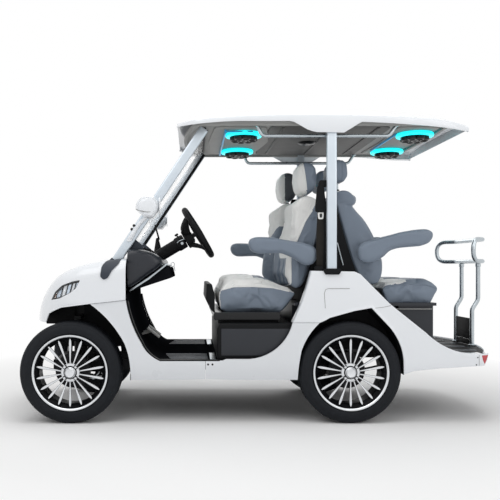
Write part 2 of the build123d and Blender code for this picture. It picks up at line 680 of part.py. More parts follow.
def build_screen():
    run_x, run_z = STRUT_TOP[0] - STRUT_FOOT[0], STRUT_TOP[1] - STRUT_FOOT[1]
    length = hypot(run_x, run_z)
    dir_x, dir_z = run_x / length, run_z / length
    lift = 0.14 * length
    low = (STRUT_FOOT[0] + dir_x * lift, STRUT_FOOT[1] + dir_z * lift)
    high = (STRUT_TOP[0] - dir_x * 34, STRUT_TOP[1] - dir_z * 34)
    pane = across(
        profile((low[0], low[1]), (high[0], high[1]), (high[0] - dir_z * GLASS, high[1] + dir_x * GLASS),
                (low[0] - dir_z * GLASS, low[1] + dir_x * GLASS)),
        -STRUT_Y + STRUT_THICKNESS / 2, STRUT_Y - STRUT_THICKNESS / 2,
    )
    save("windscreen", pane)


def build_mirrors():
    face = profile(
        (770, 1290), (752, 1342, 700, 1356), (640, 1340, 627, 1286), (636, 1232, 690, 1220), (750, 1230, 770, 1290),
    )
    inner = BODY_HALF_WIDTH - 77
    shell = across(face, inner, inner + 160)
    shell = fillet(shell.faces().sort_by(Axis.Y)[-1].edges(), 26)
    face_y = STRUT_Y + STRUT_THICKNESS / 2
    arm = across(
        profile((835, 1085), (795, 1150), (745, 1240), (712, 1240), (760, 1150), (800, 1085)), face_y, face_y + 16,
    )
    arm += box((690, 745), (face_y, inner), (1232, 1262))
    save("mirrors", *both(shell + (arm - shell)))


# ---------------------------------------------------------------- seats
def seat_pair(outline, shift=0.0, edge=22.0):
    """A left and a right cushion of one side profile; the right one may sit further forward."""
    solid = pad(outline, SEAT_INNER_Y, SEAT_OUTER_Y, edge)
    return solid, Pos(shift, 0, 0) * flip(solid)


FRONT_BACK = (
    (-116, 812), (-118, 960, -150, 1110), (-192, 1230, -196, 1325), (-240, 1384, -310, 1378),
    (-362, 1330, -362, 1240), (-318, 1030, -236, 806), (-180, 800, -116, 812),
)
REAR_BACK = (
    (-442, 1330), (-448, 1410), (-500, 1424, -543, 1400), (-562, 1350, -545, 1306), (-640, 1180, -724, 960),
    (-732, 880, -706, 806), (-606, 800), (-530, 1010, -442, 1330),
)
REAR_CUSHION = ((-750, 712), (-1030, 712), (-1092, 800), (-1040, 842), (-880, 840, -712, 802))


def front_cushion(shift):
    """The front cushion's side outline; its rear end follows a back that sits shift further forward."""
    return (
        (292, 760), (262, 812), (60 + shift, 832, -120 + shift, 800), (-222 + shift, 772), (-128 + shift, 662),
        (280, 662),
    )


def build_seats():
    half = BODY_HALF_WIDTH - 40
    base = box((-180, 286), (-half, half), (FLOOR_Z, 596))
    base -= box((-172, 274), (12 - half, half - 12), (FLOOR_Z - 1, 588))
    base += box((-100, 312), (45 - half, half - 45), (604, 658)) + box((-90, 280), (75 - half, half - 75), (590, 610))
    kick = profile((296, 640), (322, 640), (338, 700), (334, 808), (322, 822), (302, 822), (297, 700))
    base += across(kick, 90 - half, half - 90)
    save("seat_base", base)

    save("front_cushions", *(seat_pair(front_cushion(shift))[n] for n, shift in enumerate((0.0, PASSENGER_SHIFT))))
    save("front_backs", *seat_pair(FRONT_BACK, PASSENGER_SHIFT))
    save("rear_backs", *seat_pair(REAR_BACK, edge=16))
    save("rear_cushions", *seat_pair(REAR_CUSHION))

    heads = []
    middle = (SEAT_INNER_Y + SEAT_OUTER_Y) / 2
    rows = (
        # X of the middle, low Z, high Z, length, shift of the right one, X and Z of the stays' feet
        (-284, 1400, 1598, 140, PASSENGER_SHIFT, 1360),
        (-484, 1452, 1612, 132, 0.0, 1400),
    )
    for x, low, high, length, shift, foot in rows:
        outline = (
            (x - length / 2, low + 50), (x - length / 2 + 8, high - 30, x, high),
            (x + length / 2 - 8, high - 30, x + length / 2, low + 50), (x + 30, low), (x - 30, low),
        )
        head = pad(outline, middle - HEADREST_HALF_WIDTH, middle + HEADREST_HALF_WIDTH, 22)
        for y in (middle - 55, middle + 55):
            head += rod((x - 4, y, foot), (x - 4, y, low + 40), 6)
        heads.append((head, shift))
    return heads


def build_headrests(heads):
    backs = seat_pair(FRONT_BACK, PASSENGER_SHIFT)[0], seat_pair(REAR_BACK, edge=16)[0]
    out = []
    for (head, shift), back in zip(heads, backs):
        head = (head - back).solids().sort_by(SortBy.VOLUME)[-1]
        out.extend((head, Pos(shift, 0, 0) * flip(head)))
    save("headrests", *out)


FRONT_ARM = (
    (107, 1073), (98, 1112, 60, 1116), (-61, 1115), (-230, 1084), (-320, 1052, -326, 995), (-310, 940, -260, 935),
    (-190, 962, -91, 1001), (41, 1007), (95, 1018, 107, 1073),
)
REAR_ARM = (
    (-550, 1000), (-556, 1072, -610, 1092), (-812, 1149), (-980, 1166), (-1026, 1160, -1020, 1120),
    (-1000, 1062, -902, 1046), (-752, 1015), (-700, 975, -640, 953), (-570, 946, -550, 1000),
)
FRONT_PIN = (-272.0, 990.0)
REAR_PIN = (-618.0, 1008.0)


def build_arms():
    reach = 30
    pins = []
    rows = (
        # row, outline, pin, shift of the right one
        ("front", FRONT_ARM, FRONT_PIN, PASSENGER_SHIFT),
        ("rear", REAR_ARM, REAR_PIN, 0.0),
    )
    for row, outline, pin, shift in rows:
        arm = pad(outline, ARM_INNER_Y, ARM_OUTER_Y, 22)
        inner, end = (pin[0], ARM_INNER_Y - 1, pin[1]), (pin[0], ARM_INNER_Y + reach + 1, pin[1])
        arm -= rod(inner, end, ARM_PIN_RADIUS + RUNNING_GAP)
        save(f"armrest_{row}_left", arm)
        save(f"armrest_{row}_right", Pos(shift, 0, 0) * flip(arm))
        bar = rod((pin[0], SEAT_OUTER_Y, pin[1]), (pin[0], ARM_INNER_Y + reach, pin[1]), ARM_PIN_RADIUS)
        bar += rod((pin[0], SEAT_OUTER_Y, pin[1]), (pin[0], SEAT_OUTER_Y + 5, pin[1]), ARM_PIN_RADIUS + 8)
        pins.extend((bar, Pos(shift, 0, 0) * flip(bar)))
    save("armrest_pins", *pins)


def build_rear_seat_box():
    half = BODY_HALF_WIDTH - 105
    rear = box((-1036, -826), (30 - half, half - 30), (DECK_Z, 694))
    core = box((-826, -186), (110 - half, half - 110), (400, 694))
    top = box((-1046, -186), (-half, half), (694, 712))
    save("rear_seat_box", rear + core + top)
    face = profile(
        (-240, 712), (-236, 790), (-330, 1035), (-374, 1240), (-368, 1330), (-470, 1330), (-505, 1310), (-605, 990),
        (-645, 840), (-690, 800), (-714, 786), (-740, 712),
    )
    divider = across(face, 40 - half, half - 40)
    for back in (*seat_pair(FRONT_BACK, PASSENGER_SHIFT), *seat_pair(REAR_BACK, edge=16)):
        divider -= back
    save("seat_divider", divider)


def build_belts():
    strap_y = BODY_HALF_WIDTH - 43
    strap = box((-346, -300), (strap_y, strap_y + 3), (932, 1440))
    anchor = box((PILLAR_X + PILLAR_LENGTH / 2, -296), (strap_y + 3, strap_y + 11), (1410, 1446))
    reel = box((-340, -294), (strap_y - 2, strap_y + 26), (PILLAR_FOOT_Z, 932))
    save("seat_belts", *both(strap + anchor + reel))


# ---------------------------------------------------------------- controls
def build_controls():
    down = radians(STEER_RAKE)
    axis_x, axis_z = cos(down), -sin(down)

    def at(along, up=0.0):
        """A point beside the column's axis: along it from the rim's plane, up square to it."""
        x, z = STEER_CENTRE
        return x + axis_x * along - axis_z * up, STEER_Y, z + axis_z * along + axis_x * up

    frame = Plane(origin=at(0), x_dir=(0, 1, 0), z_dir=(axis_x, 0, axis_z))
    wheel = frame * Torus(STEER_RADIUS, STEER_TUBE) + rod(at(-4), at(50), 40) + rod(at(48), at(90), 60)
    for turn in (0, 180, 90):
        wheel += frame * Rot(0, 0, turn) * Pos(30 + (STEER_RADIUS - 30) / 2, 0, 18) * Box(STEER_RADIUS - 34, 30, 10)
        wheel += frame * Rot(0, 0, turn) * Pos(STEER_RADIUS - 8, 0, 11) * Box(12, 30, 24)
    wheel -= rod(at(12), at(95), STUB_RADIUS + RUNNING_GAP)
    save("steering_wheel", wheel)

    column = rod(at(97), at(300), 42) + rod(at(14), at(97), STUB_RADIUS)
    column += rod(at(118, 58), at(118, 0), 9)
    for block in dash_blocks():
        column -= block
    save("steering_column", column.solids().sort_by(SortBy.VOLUME)[-1])

    behind_toe_board = across(
        profile((829, 770), (809, 640, 738, 478), (690, 412, 626, FLOOR_Z), (900, 300), (900, 770)), -560, 560,
    )
    pedals = []
    for y in (STEER_Y - 90, STEER_Y + 45):
        plate = across(profile((716, 548), (640, 488), (645, 481), (722, 541)), y - 42, y + 42)
        stem = across(profile((690, 516), (700, 524), (800, 500), (795, 488)), y - 8, y + 8)
        pedals.append((plate + stem - behind_toe_board).solids().sort_by(SortBy.VOLUME)[-1])
    save("pedals", *pedals)


# ---------------------------------------------------------------- rear rail
def build_rail():
    top, low = RAIL_TOP_Z, RAIL_BOTTOM_Z
    bend, end_x, end_y = RAIL_BEND_Y, RAIL_END_X, RAIL_END_Y
    path = [
        (RAIL_X, 0, top), (RAIL_X, bend, top), (end_x, end_y, top),
        (end_x, end_y, low), (RAIL_X, bend, low), (RAIL_X, 0, low),
    ]
    half = tube_along(path, [90, 64, 64, 90], RAIL_TUBE)
    loop = half + flip(half)
    foot_z = DECK_Z + RIB
    post_path = [(RAIL_X, POST_Y, low), (RAIL_X, POST_Y, 715), (POST_FOOT_X, POST_Y, 650), (POST_FOOT_X, POST_Y, foot_z)]
    post = tube_along(post_path, [60, 60], RAIL_TUBE)
    post += rod((POST_FOOT_X, POST_Y, foot_z), (POST_FOOT_X, POST_Y, foot_z + 7), RAIL_TUBE + 6)
    rail = loop + post + flip(post)
    save("rear_rail", rail)
    panel = box((POST_FOOT_X - 4, POST_FOOT_X + 4), (-POST_Y, POST_Y), (DECK_Z + 40, 590)) - rail
    save("rail_panel", panel.solids().sort_by(SortBy.VOLUME)[-1])

    lamp = box((-1420, -1290), (TAIL_HALF_WIDTH - 100, TAIL_HALF_WIDTH - 2), (356, 402))
    lamp = (lamp & upward(tail_plan(-8), 300, 500)) - upward(tail_plan(0), 300, 500)
    save("tail_lamps", *both(lamp))


def main():
    os.makedirs(OUT, exist_ok=True)
    build_wheels()
    build_chassis()
    build_front_body()
    build_side_body()
    build_floor()
    build_dash()
    build_roof()
    build_screen()
    build_mirrors()
    build_headrests(build_seats())
    build_arms()
    build_rear_seat_box()
    build_belts()
    build_controls()
    build_rail()


main()
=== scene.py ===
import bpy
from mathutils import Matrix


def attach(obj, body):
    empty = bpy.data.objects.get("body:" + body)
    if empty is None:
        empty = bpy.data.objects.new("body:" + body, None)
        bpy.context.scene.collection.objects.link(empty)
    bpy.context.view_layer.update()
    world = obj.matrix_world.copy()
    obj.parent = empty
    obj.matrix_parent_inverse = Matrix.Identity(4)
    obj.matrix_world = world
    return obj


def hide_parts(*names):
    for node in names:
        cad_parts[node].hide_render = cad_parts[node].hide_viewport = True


bl_info = {
    "name": "Golf cart dressing",
    "version": (1, 0, 0),
    "blender": (4, 5, 0),
    "location": "View3D > Sidebar > Cart",
    "description": "Builds the visible pieces of an open golf cart around its packed frame",
    "category": "Object",
}

from math import atan2, cos, hypot, pi, radians, sin

import bmesh
import bpy
import numpy as np
from bpy.props import FloatProperty, FloatVectorProperty, IntProperty, PointerProperty
from mathutils import Matrix, Vector
from mathutils.bvhtree import BVHTree
from mathutils.geometry import delaunay_2d_cdt

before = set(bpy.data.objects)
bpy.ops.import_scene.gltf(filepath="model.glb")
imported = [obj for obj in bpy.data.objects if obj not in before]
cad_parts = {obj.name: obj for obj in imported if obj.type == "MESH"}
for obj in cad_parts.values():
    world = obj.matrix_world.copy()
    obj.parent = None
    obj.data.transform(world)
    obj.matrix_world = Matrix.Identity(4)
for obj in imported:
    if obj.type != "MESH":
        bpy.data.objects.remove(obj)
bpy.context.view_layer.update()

MM = 0.001
CHASSIS = "chassis"
MAT = {}

CEILING = 1.783         # height in metres of the headliner's face, which pods, struts, pillars and rails meet
PANEL_Y = 0.5785        # outer face of the side panels, in metres from the middle
PANE_Y = 0.4445         # half width of the windscreen, in metres
SHARP = 38              # degrees between two faces above which their edge stays sharp
CAMERA_AT = (0.437, 4.483, 0.923)
CAMERA_LENS = 47.52     # millimetres, on a sensor 36 mm wide
CAMERA_SHIFT = (0.116, 0.036)


# ------------------------------------------------------------------ finishes
def linear(code):
    """An sRGB hex colour as linear red, green, blue and alpha."""
    channels = [int(code[i:i + 2], 16) / 255 for i in (1, 3, 5)]
    return tuple(c / 12.92 if c <= 0.04045 else ((c + 0.055) / 1.055) ** 2.4 for c in channels) + (1.0,)


def node(tree, kind, settings=None, **sockets):
    """Adds a node with its own settings; each named socket (or n and a number) gets a value or a link."""
    made = tree.nodes.new(kind)
    for key, value in (settings or {}).items():
        setattr(made, key, value)
    for key, value in sockets.items():
        socket = made.inputs[int(key[1:])] if key[1:].isdigit() else made.inputs[key.replace("_", " ")]
        if isinstance(value, bpy.types.NodeSocket):
            tree.links.new(value, socket)
        else:
            socket.default_value = value
    return made


def surface(name, first, second, drift, rough, handling=40, cells=None, grain=None, lit=False, **sockets):
    """A finish on one Principled shader. Its colour drifts between two near shades over spots of drift millimetres,
    and its roughness between two values over spots of handling millimetres. cells or grain is (width, depth) of the
    surface's relief in millimetres: rounded cells, or an uneven grain."""
    material = bpy.data.materials.new(name)
    material.use_nodes = True
    tree = material.node_tree
    tree.nodes.clear()
    shader = node(tree, "ShaderNodeBsdfPrincipled", **sockets)
    node(tree, "ShaderNodeOutputMaterial", Surface=shader.outputs[0])
    at = node(tree, "ShaderNodeTexCoord").outputs["Object"]
    spots = node(tree, "ShaderNodeTexNoise", Vector=at, Scale=1 / (drift * MM), Detail=3.0)
    tone = node(tree, "ShaderNodeMix", {"data_type": "RGBA"}, n0=spots.outputs["Fac"], n6=first, n7=second)
    tree.links.new(tone.outputs[2], shader.inputs["Base Color"])
    if lit:
        tree.links.new(tone.outputs[2], shader.inputs["Emission Color"])
    wear = node(tree, "ShaderNodeTexNoise", Vector=at, Scale=1 / (handling * MM), Detail=4.0)
    spread = node(tree, "ShaderNodeMapRange", Value=wear.outputs["Fac"], To_Min=rough[0], To_Max=rough[1])
    tree.links.new(spread.outputs[0], shader.inputs["Roughness"])
    height = None
    if cells:
        height = node(tree, "ShaderNodeTexVoronoi", Vector=at, Scale=1 / (cells[0] * MM)).outputs["Distance"]
    elif grain:
        height = node(tree, "ShaderNodeTexNoise", Vector=at, Scale=1 / (grain[0] * MM), Detail=5.0).outputs["Fac"]
    if height:
        bump = node(tree, "ShaderNodeBump", Height=height, Distance=(cells or grain)[1] * MM, Strength=1.0)
        tree.links.new(bump.outputs[0], shader.inputs["Normal"])
    return material


def shade(colour, factor):
    """The same colour, lighter or darker."""
    return tuple(min(1.0, c * factor) for c in tuple(colour)[:3]) + (1.0,)


def make_finishes(colours):
    """All the cart's finishes, by the name of the real surface."""
    white, grey, pale, ring = (tuple(c) for c in (colours.body, colours.vinyl, colours.insert, colours.ring))
    return {
        # Thermoformed ABS under a gloss cap: even white, with a soft wave in its reflections.
        "white": surface("gloss_abs_white", white, shade(white, 0.97), 400, (0.17, 0.24), 120, grain=(60, 0.05),
                         IOR=1.46, Coat_Weight=0.5, Coat_Roughness=0.05),
        # The same ABS lower down, on the sill panels, with painted shade: its white is drawn a little darker.
        "sill": surface("gloss_abs_painted_shade", shade(white, 0.93), shade(white, 0.89), 260, (0.24, 0.34), 90,
                        grain=(60, 0.05), IOR=1.46, Coat_Weight=0.3, Coat_Roughness=0.12),
        # Injection-moulded polypropylene with a leather-like grain, drawn at 4 mm so that it shows: dull black.
        "black": surface("moulded_polypropylene_black", linear("#0c0d0f"), linear("#131416"), 60, (0.5, 0.64),
                         cells=(4, 0.25), IOR=1.49, Specular_IOR_Level=0.15),
        # Ribbed rubber mat and its moulded surround: soaks up light, its fine pits drawn at 3 mm.
        "mat": surface("pitted_rubber_mat", linear("#121315"), linear("#1b1c1f"), 40, (0.8, 0.9), 30,
                       cells=(3, 0.15), IOR=1.5, Specular_IOR_Level=0.0),
        # Soft-touch ABS of the dash: dark slate, satin, with long soft highlights.
        "slate": surface("soft_touch_abs_slate", linear("#22252b"), linear("#292c33"), 150, (0.28, 0.36), 60,
                         cells=(3, 0.05), IOR=1.5, Specular_IOR_Level=0.4),
        # Moulded cover of the strut's foot: blue-grey and matt.
        "boot": surface("moulded_tpe_graphite", linear("#2f343d"), linear("#383e48"), 90, (0.45, 0.55), 50,
                        grain=(5, 0.08), IOR=1.5, Specular_IOR_Level=0.3),
        # Gloss enamel in the wheel: near mirror where it faces a light, otherwise black.
        "enamel": surface("gloss_enamel_black", linear("#08090b"), linear("#101114"), 50, (0.24, 0.34), 30,
                          IOR=1.5, Specular_IOR_Level=0.3, Coat_Weight=0.1, Coat_Roughness=0.05),
        # Cast aluminium faced on a lathe: bright, slightly grained.
        "alloy": surface("machined_cast_aluminium", linear("#d3d6da"), linear("#e6e8ea"), 35, (0.26, 0.38), 12,
                         grain=(3, 0.03), Metallic=0.9),
        # Extruded and clear-anodised aluminium: pale and cool, long soft highlights.
        "tube": surface("anodised_aluminium_satin", linear("#c9d3dc"), linear("#d8e0e7"), 90, (0.34, 0.42), 40,
                        grain=(2, 0.02), Metallic=0.55),
        # Bent and polished stainless tube: crisp bands of light and dark.
        "stainless": surface("polished_stainless_steel", linear("#a9b1b6"), linear("#c0c7cb"), 60, (0.24, 0.32), 20,
                             Metallic=1.0),
        # Vulcanised rubber: dull blue-black, dusty in its grain.
        "rubber": surface("vulcanised_rubber", linear("#14161a"), linear("#1c1f24"), 25, (0.6, 0.76), 18,
                          grain=(5, 0.2), IOR=1.52, Specular_IOR_Level=0.2),
        # Powder-coated steel of the running gear: black with a fine peel.
        "coated": surface("powder_coated_steel_black", linear("#111215"), linear("#1a1b1f"), 30, (0.4, 0.55), 20,
                          grain=(4, 0.1), IOR=1.5, Specular_IOR_Level=0.25),
        # Embossed vinyl over foam. Its real grain is about 1 mm, drawn at 3 mm so that it shows.
        "vinyl": surface("embossed_vinyl_grey", grey, shade(grey, 0.9), 70, (0.42, 0.54), 45, cells=(3, 0.1),
                         IOR=1.5, Sheen_Weight=0.1, Sheen_Roughness=0.5),
        "insert": surface("embossed_vinyl_white", pale, shade(pale, 0.94), 70, (0.42, 0.52), 45, cells=(3, 0.1),
                          IOR=1.5, Sheen_Weight=0.1, Sheen_Roughness=0.5),
        # Charcoal vinyl: painted shade on the inner side of the headrests, between the seats.
        "painted_shade_vinyl": surface("embossed_vinyl_charcoal", linear("#3f4348"), linear("#4a4e54"), 60, (0.5, 0.6), 45,
                             cells=(3, 0.1), IOR=1.5),
        # Vacuum-formed ABS headliner, painted grey: matt with a light stipple.
        "liner": surface("stippled_abs_grey", linear("#8a8a88"), linear("#989896"), 180, (0.5, 0.62), 60,
                         grain=(4, 0.12), IOR=1.5, Specular_IOR_Level=0.3),
        "liner_dark": surface("stippled_abs_charcoal", linear("#4b4a49"), linear("#575654"), 140, (0.5, 0.6), 60,
                              grain=(4, 0.12), IOR=1.5, Specular_IOR_Level=0.3),
        # Hard-coated polycarbonate sheet: clear, with a faint cool tint.
        "glass": surface("clear_polycarbonate", linear("#f2f8fa"), linear("#ffffff"), 300, (0.0, 0.02), 200,
                         IOR=1.12, Transmission_Weight=1.0, Alpha=0.22),
        # Injection-moulded acrylic lens: clear, with crisp reflections.
        "lens": surface("clear_acrylic", linear("#eef4f8"), linear("#ffffff"), 60, (0.02, 0.05), 60,
                        IOR=1.25, Transmission_Weight=0.95, Alpha=0.35, Coat_Weight=0.6),
        # Coloured acrylic over a reflector: deep, with bright facets.
        "red": surface("red_acrylic", linear("#a61b22"), linear("#cf4148"), 8, (0.1, 0.2), 10, cells=(6, 0.5),
                       IOR=1.49, Coat_Weight=1.0, Coat_Roughness=0.03),
        "amber": surface("amber_acrylic", linear("#8a4a16"), linear("#bf7434"), 6, (0.12, 0.22), 10, cells=(6, 0.5),
                         IOR=1.49, Coat_Weight=1.0, Coat_Roughness=0.03),
        # Vacuum-metallised reflector: bright blue-grey steps.
        "reflector": surface("metallised_reflector", linear("#9fb0c4"), linear("#e6eef7"), 14, (0.12, 0.3), 9,
                             Metallic=0.8),
        # Lit light guide: an even cyan glow.
        "glow": surface("lit_light_guide", ring, shade(ring, 1.06), 40, (0.3, 0.4), 30, lit=True,
                        Emission_Strength=0.9, IOR=1.49),
        # Painted light: the rings' light falling on the bracket is painted into it as a faint blue glow, though it is
        # no lamp.
        "bracket": surface("polycarbonate_painted_glow", linear("#1d7fae"), linear("#2f94c2"), 30, (0.25, 0.35), 30,
                           lit=True, Emission_Strength=0.25, IOR=1.5),
        # Woven polyester strap, its ribs drawn at 4 mm so that they show.
        "webbing": surface("woven_polyester_black", linear("#161514"), linear("#26231f"), 20, (0.6, 0.75), 12,
                           cells=(4, 0.4), IOR=1.5, Specular_IOR_Level=0.2),
        # Extruded aluminium tread strip, scuffed.
        "rib": surface("scuffed_tread_strip", linear("#55595e"), linear("#7c8186"), 24, (0.32, 0.55), 15,
                       grain=(3, 0.1), Metallic=0.2),
    }


# ------------------------------------------------------------------ outlines
def arc(first, middle, last, count):
    """Points after first along the circle through three points, the last one included."""
    (ax, ay), (bx, by), (cx, cy) = first, middle, last
    d = 2 * (ax * (by - cy) + bx * (cy - ay) + cx * (ay - by))
    a2, b2, c2 = ax * ax + ay * ay, bx * bx + by * by, cx * cx + cy * cy
    ux = (a2 * (by - cy) + b2 * (cy - ay) + c2 * (ay - by)) / d
    uy = (a2 * (cx - bx) + b2 * (ax - cx) + c2 * (bx - ax)) / d
    start, mid, end = (atan2(y - uy, x - ux) for x, y in (first, middle, last))
    sweep, half = (end - start) % (2 * pi), (mid - start) % (2 * pi)
    if half > sweep:
        sweep -= 2 * pi
    radius = hypot(ax - ux, ay - uy)
    turns = [start + sweep * n / count for n in range(1, count + 1)]
    return [(ux + radius * cos(a), uy + radius * sin(a)) for a in turns]


def outline(start, *steps, count=10):
    """Points in metres from millimetres: (a, b) is a straight run, (am, bm, a, b) an arc through a middle point."""
    points = [start]
    for step in steps:
        points.extend([step] if len(step) == 2 else arc(points[-1], step[:2], step[2:], count))
    return [(a * MM, b * MM) for a, b in points]


def soft_outline(points, spacing, rounds):
    """A closed outline in millimetres, evenly divided and its corners worn round; given in metres."""
    path = np.array(points, float)
    path = np.vstack([path, path[:1]])
    steps = np.hypot(*np.diff(path, axis=0).T)
    along = np.concatenate([[0], np.cumsum(steps)])
    count = max(12, int(along[-1] / spacing))
    at = np.linspace(0, along[-1], count, endpoint=False)
    even = np.stack([np.interp(at, along, path[:, k]) for k in (0, 1)], 1)
    for _ in range(rounds):
        even = (np.roll(even, 1, 0) + 2 * even + np.roll(even, -1, 0)) / 4
    return [(a * MM, b * MM) for a, b in even]


def smooth_rows(table, at):
    """Each column of a table followed through its rows by a smooth curve, at the given values of the first column."""
    table = np.array(sorted(table), float)
    x = table[:, 0]
    slopes = np.gradient(table, x, axis=0)
    at = np.asarray(at, float)
    k = np.clip(np.searchsorted(x, at) - 1, 0, len(x) - 2)
    h = (x[k + 1] - x[k])[:, None]
    t = ((at - x[k]) / (x[k + 1] - x[k]))[:, None]
    a, b, m, n = table[k], table[k + 1], slopes[k] * h, slopes[k + 1] * h
    return a * (2 * t**3 - 3 * t**2 + 1) + m * (t**3 - 2 * t**2 + t) + b * (3 * t**2 - 2 * t**3) + n * (t**3 - t**2)


def ramp(values, start, run):
    """Shares that rise from 0 at start to 1 a run further on; a negative run rises the other way."""
    return np.clip((values - start) / run, 0, 1)


def ridge(values, line, width):
    """Shares that are 1 on a line and die away over about a width on either side."""
    return np.exp(-((values - line) / width) ** 2)


# ------------------------------------------------------------------ meshes
def mesh_piece(name, vertices, faces, *finishes):
    """A smooth-shaded mesh object with its normals turned outward."""
    mesh = bpy.data.meshes.new(name)
    mesh.from_pydata([tuple(v) for v in vertices], [], faces)
    form = bmesh.new()
    form.from_mesh(mesh)
    bmesh.ops.remove_doubles(form, verts=form.verts, dist=1e-6)
    bmesh.ops.recalc_face_normals(form, faces=form.faces)
    form.to_mesh(mesh)
    form.free()
    mesh.polygons.foreach_set("use_smooth", [True] * len(mesh.polygons))
    for finish in finishes:
        mesh.materials.append(MAT[finish])
    return linked(name, mesh)


def linked(name, mesh):
    """An object in the scene for a mesh or curve."""
    made = bpy.data.objects.new(name, mesh)
    bpy.context.scene.collection.objects.link(made)
    return made


def skin_piece(name, rings, *finishes, closed=False, caps=False):
    """A skin through rings of as many points each; closed joins each ring's last point to its first."""
    rings = np.asarray(rings, float)
    count, size = rings.shape[:2]
    faces = [(i * size + j, i * size + (j + 1) % size, (i + 1) * size + (j + 1) % size, (i + 1) * size + j)
             for i in range(count - 1) for j in range(size if closed else size - 1)]
    if caps:
        faces += [tuple(range(size)), tuple(range((count - 1) * size, count * size))]
    return mesh_piece(name, rings.reshape(-1, 3), faces, *finishes)


def settle(piece):
    """Applies a piece's modifiers to its mesh."""
    if piece.modifiers:
        graph = bpy.context.evaluated_depsgraph_get()
        mesh = bpy.data.meshes.new_from_object(piece.evaluated_get(graph))
        piece.modifiers.clear()
        piece.data = mesh
    return piece


def modify(piece, kind, **settings):
    """Adds a modifier with its settings."""
    made = piece.modifiers.new(kind.lower(), kind)
    for key, value in settings.items():
        setattr(made, key, value)
    return piece


def rounded(piece, width, segments=3, angle=30):
    """A small radius on every sharp edge, and smooth shading between the sharp ones that stay."""
    if width:
        modify(piece, "BEVEL", width=width, segments=segments, limit_method="ANGLE", angle_limit=radians(angle))
        settle(piece)
    piece.data.polygons.foreach_set("use_smooth", [True] * len(piece.data.polygons))
    return sharpened(piece)


def prism(name, first, last, finish, edge, segments=3):
    """A solid between two flat outlines of as many points, with rounded edges."""
    count = len(first)
    faces = [tuple(range(count)), tuple(range(count, 2 * count))]
    faces += [(i, (i + 1) % count, count + (i + 1) % count, count + i) for i in range(count)]
    return rounded(mesh_piece(name, [*first, *last], faces, finish), edge, segments)


def plate(name, points, y, finish, edge, segments=3):
    """A side outline in X and Z made solid between two Y planes."""
    return prism(name, *([(x, at, z) for x, z in points] for at in y), finish, edge, segments)


def slab(name, points, z, finish, edge):
    """A plan outline in X and Y made solid between two heights."""
    return prism(name, *([(x, y, at) for x, y in points] for at in z), finish, edge)


def bar(name, x, y, z, finish, edge):
    """A bar from three (low, high) pairs in millimetres, with rounded edges."""
    points = outline((x[0], z[0]), (x[1], z[0]), (x[1], z[1]), (x[0], z[1]))
    return plate(name, points, (y[0] * MM, y[1] * MM), finish, edge)


def turned(name, section, centre, axis, finish, count):
    """A closed section of (radius, along) points in millimetres, turned about an axis through centre."""
    turn = Vector((0, 0, 1)).rotation_difference(Vector(axis).normalized())
    rings = []
    for n in range(count + 1):
        a = 2 * pi * n / count
        rings.append([Vector(centre) + turn @ (Vector((r * cos(a), r * sin(a), h)) * MM) for r, h in section])
    return sharpened(skin_piece(name, rings, finish, closed=True))


def sharpened(piece, angle=SHARP):
    """Smooth shading that stops at real corners."""
    piece.data.set_sharp_from_angle(angle=radians(angle))
    return piece


def eased(points, radius, count=8):
    """A path through points in millimetres with its corners eased into curves; given in metres."""
    points = [Vector(p) * MM for p in points]
    path = [points[0]]
    for before, at, after in zip(points, points[1:], points[2:]):
        a, b = before - at, after - at
        cut = min(radius * MM / np.tan(a.angle(b) / 2), a.length * 0.49, b.length * 0.49)
        start, end = at + a.normalized() * cut, at + b.normalized() * cut
        for n in range(count + 1):
            t = n / count
            path.append(start * (1 - t) ** 2 + at * 2 * t * (1 - t) + end * t**2)
    return path + [points[-1]]


def tube(name, path, radius, finish, sides=4, cyclic=False):
    """A round bar of a radius in millimetres along a path in metres."""
    curve = bpy.data.curves.new(name, "CURVE")
    curve.dimensions = "3D"
    curve.bevel_depth = radius * MM
    curve.bevel_resolution = sides
    curve.use_fill_caps = True
    spline = curve.splines.new("POLY")
    spline.points.add(len(path) - 1)
    for point, at in zip(spline.points, path):
        point.co = (*at, 1.0)
    spline.use_cyclic_u = cyclic
    holder = linked(name, curve)
    mesh = bpy.data.meshes.new_from_object(holder)
    bpy.data.objects.remove(holder)
    mesh.materials.clear()
    mesh.materials.append(MAT[finish])
    mesh.polygons.foreach_set("use_smooth", [True] * len(mesh.polygons))
    return sharpened(linked(name, mesh), 50)


def joined(name, pieces):
    """One object from several, each keeping its own finish."""
    for piece in pieces:
        settle(piece)
    with bpy.context.temp_override(active_object=pieces[0], object=pieces[0], selected_objects=pieces,
                                   selected_editable_objects=pieces):
        bpy.ops.object.join()
    pieces[0].name = pieces[0].data.name = name
    return pieces[0]


def cut(piece, cutter, how="DIFFERENCE"):
    """Cuts a piece with another one, or keeps what the two share, and removes the cutter."""
    modify(piece, "BOOLEAN", operation=how, object=cutter, solver="EXACT")
    settle(piece)
    bpy.data.objects.remove(cutter)
    return piece


def moved(piece, name, matrix):
    """A copy of a piece under a matrix; a mirroring one keeps its normals outward."""
    settle(piece)
    mesh = piece.data.copy()
    mesh.transform(matrix)
    if matrix.determinant() < 0:
        mesh.flip_normals()
    return linked(name, mesh)


ACROSS = Matrix.Scale(-1, 4, (0, 1, 0))


def on_both_sides(name, piece):
    """A piece and its mirrored copy in one object."""
    return joined(name, [piece, moved(piece, name + "_r", ACROSS)])


def put(piece, body, *nodes, slot=None):
    """Rides a piece on a body and hides the frame's nodes that it stands for."""
    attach(piece, body)
    if nodes:
        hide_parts(*nodes)
    return piece


def refinish(finish, *names):
    """Gives nodes of the frame that stay their finish."""
    for name in names:
        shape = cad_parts[name]
        shape.data.materials.clear()
        shape.data.materials.append(MAT[finish])


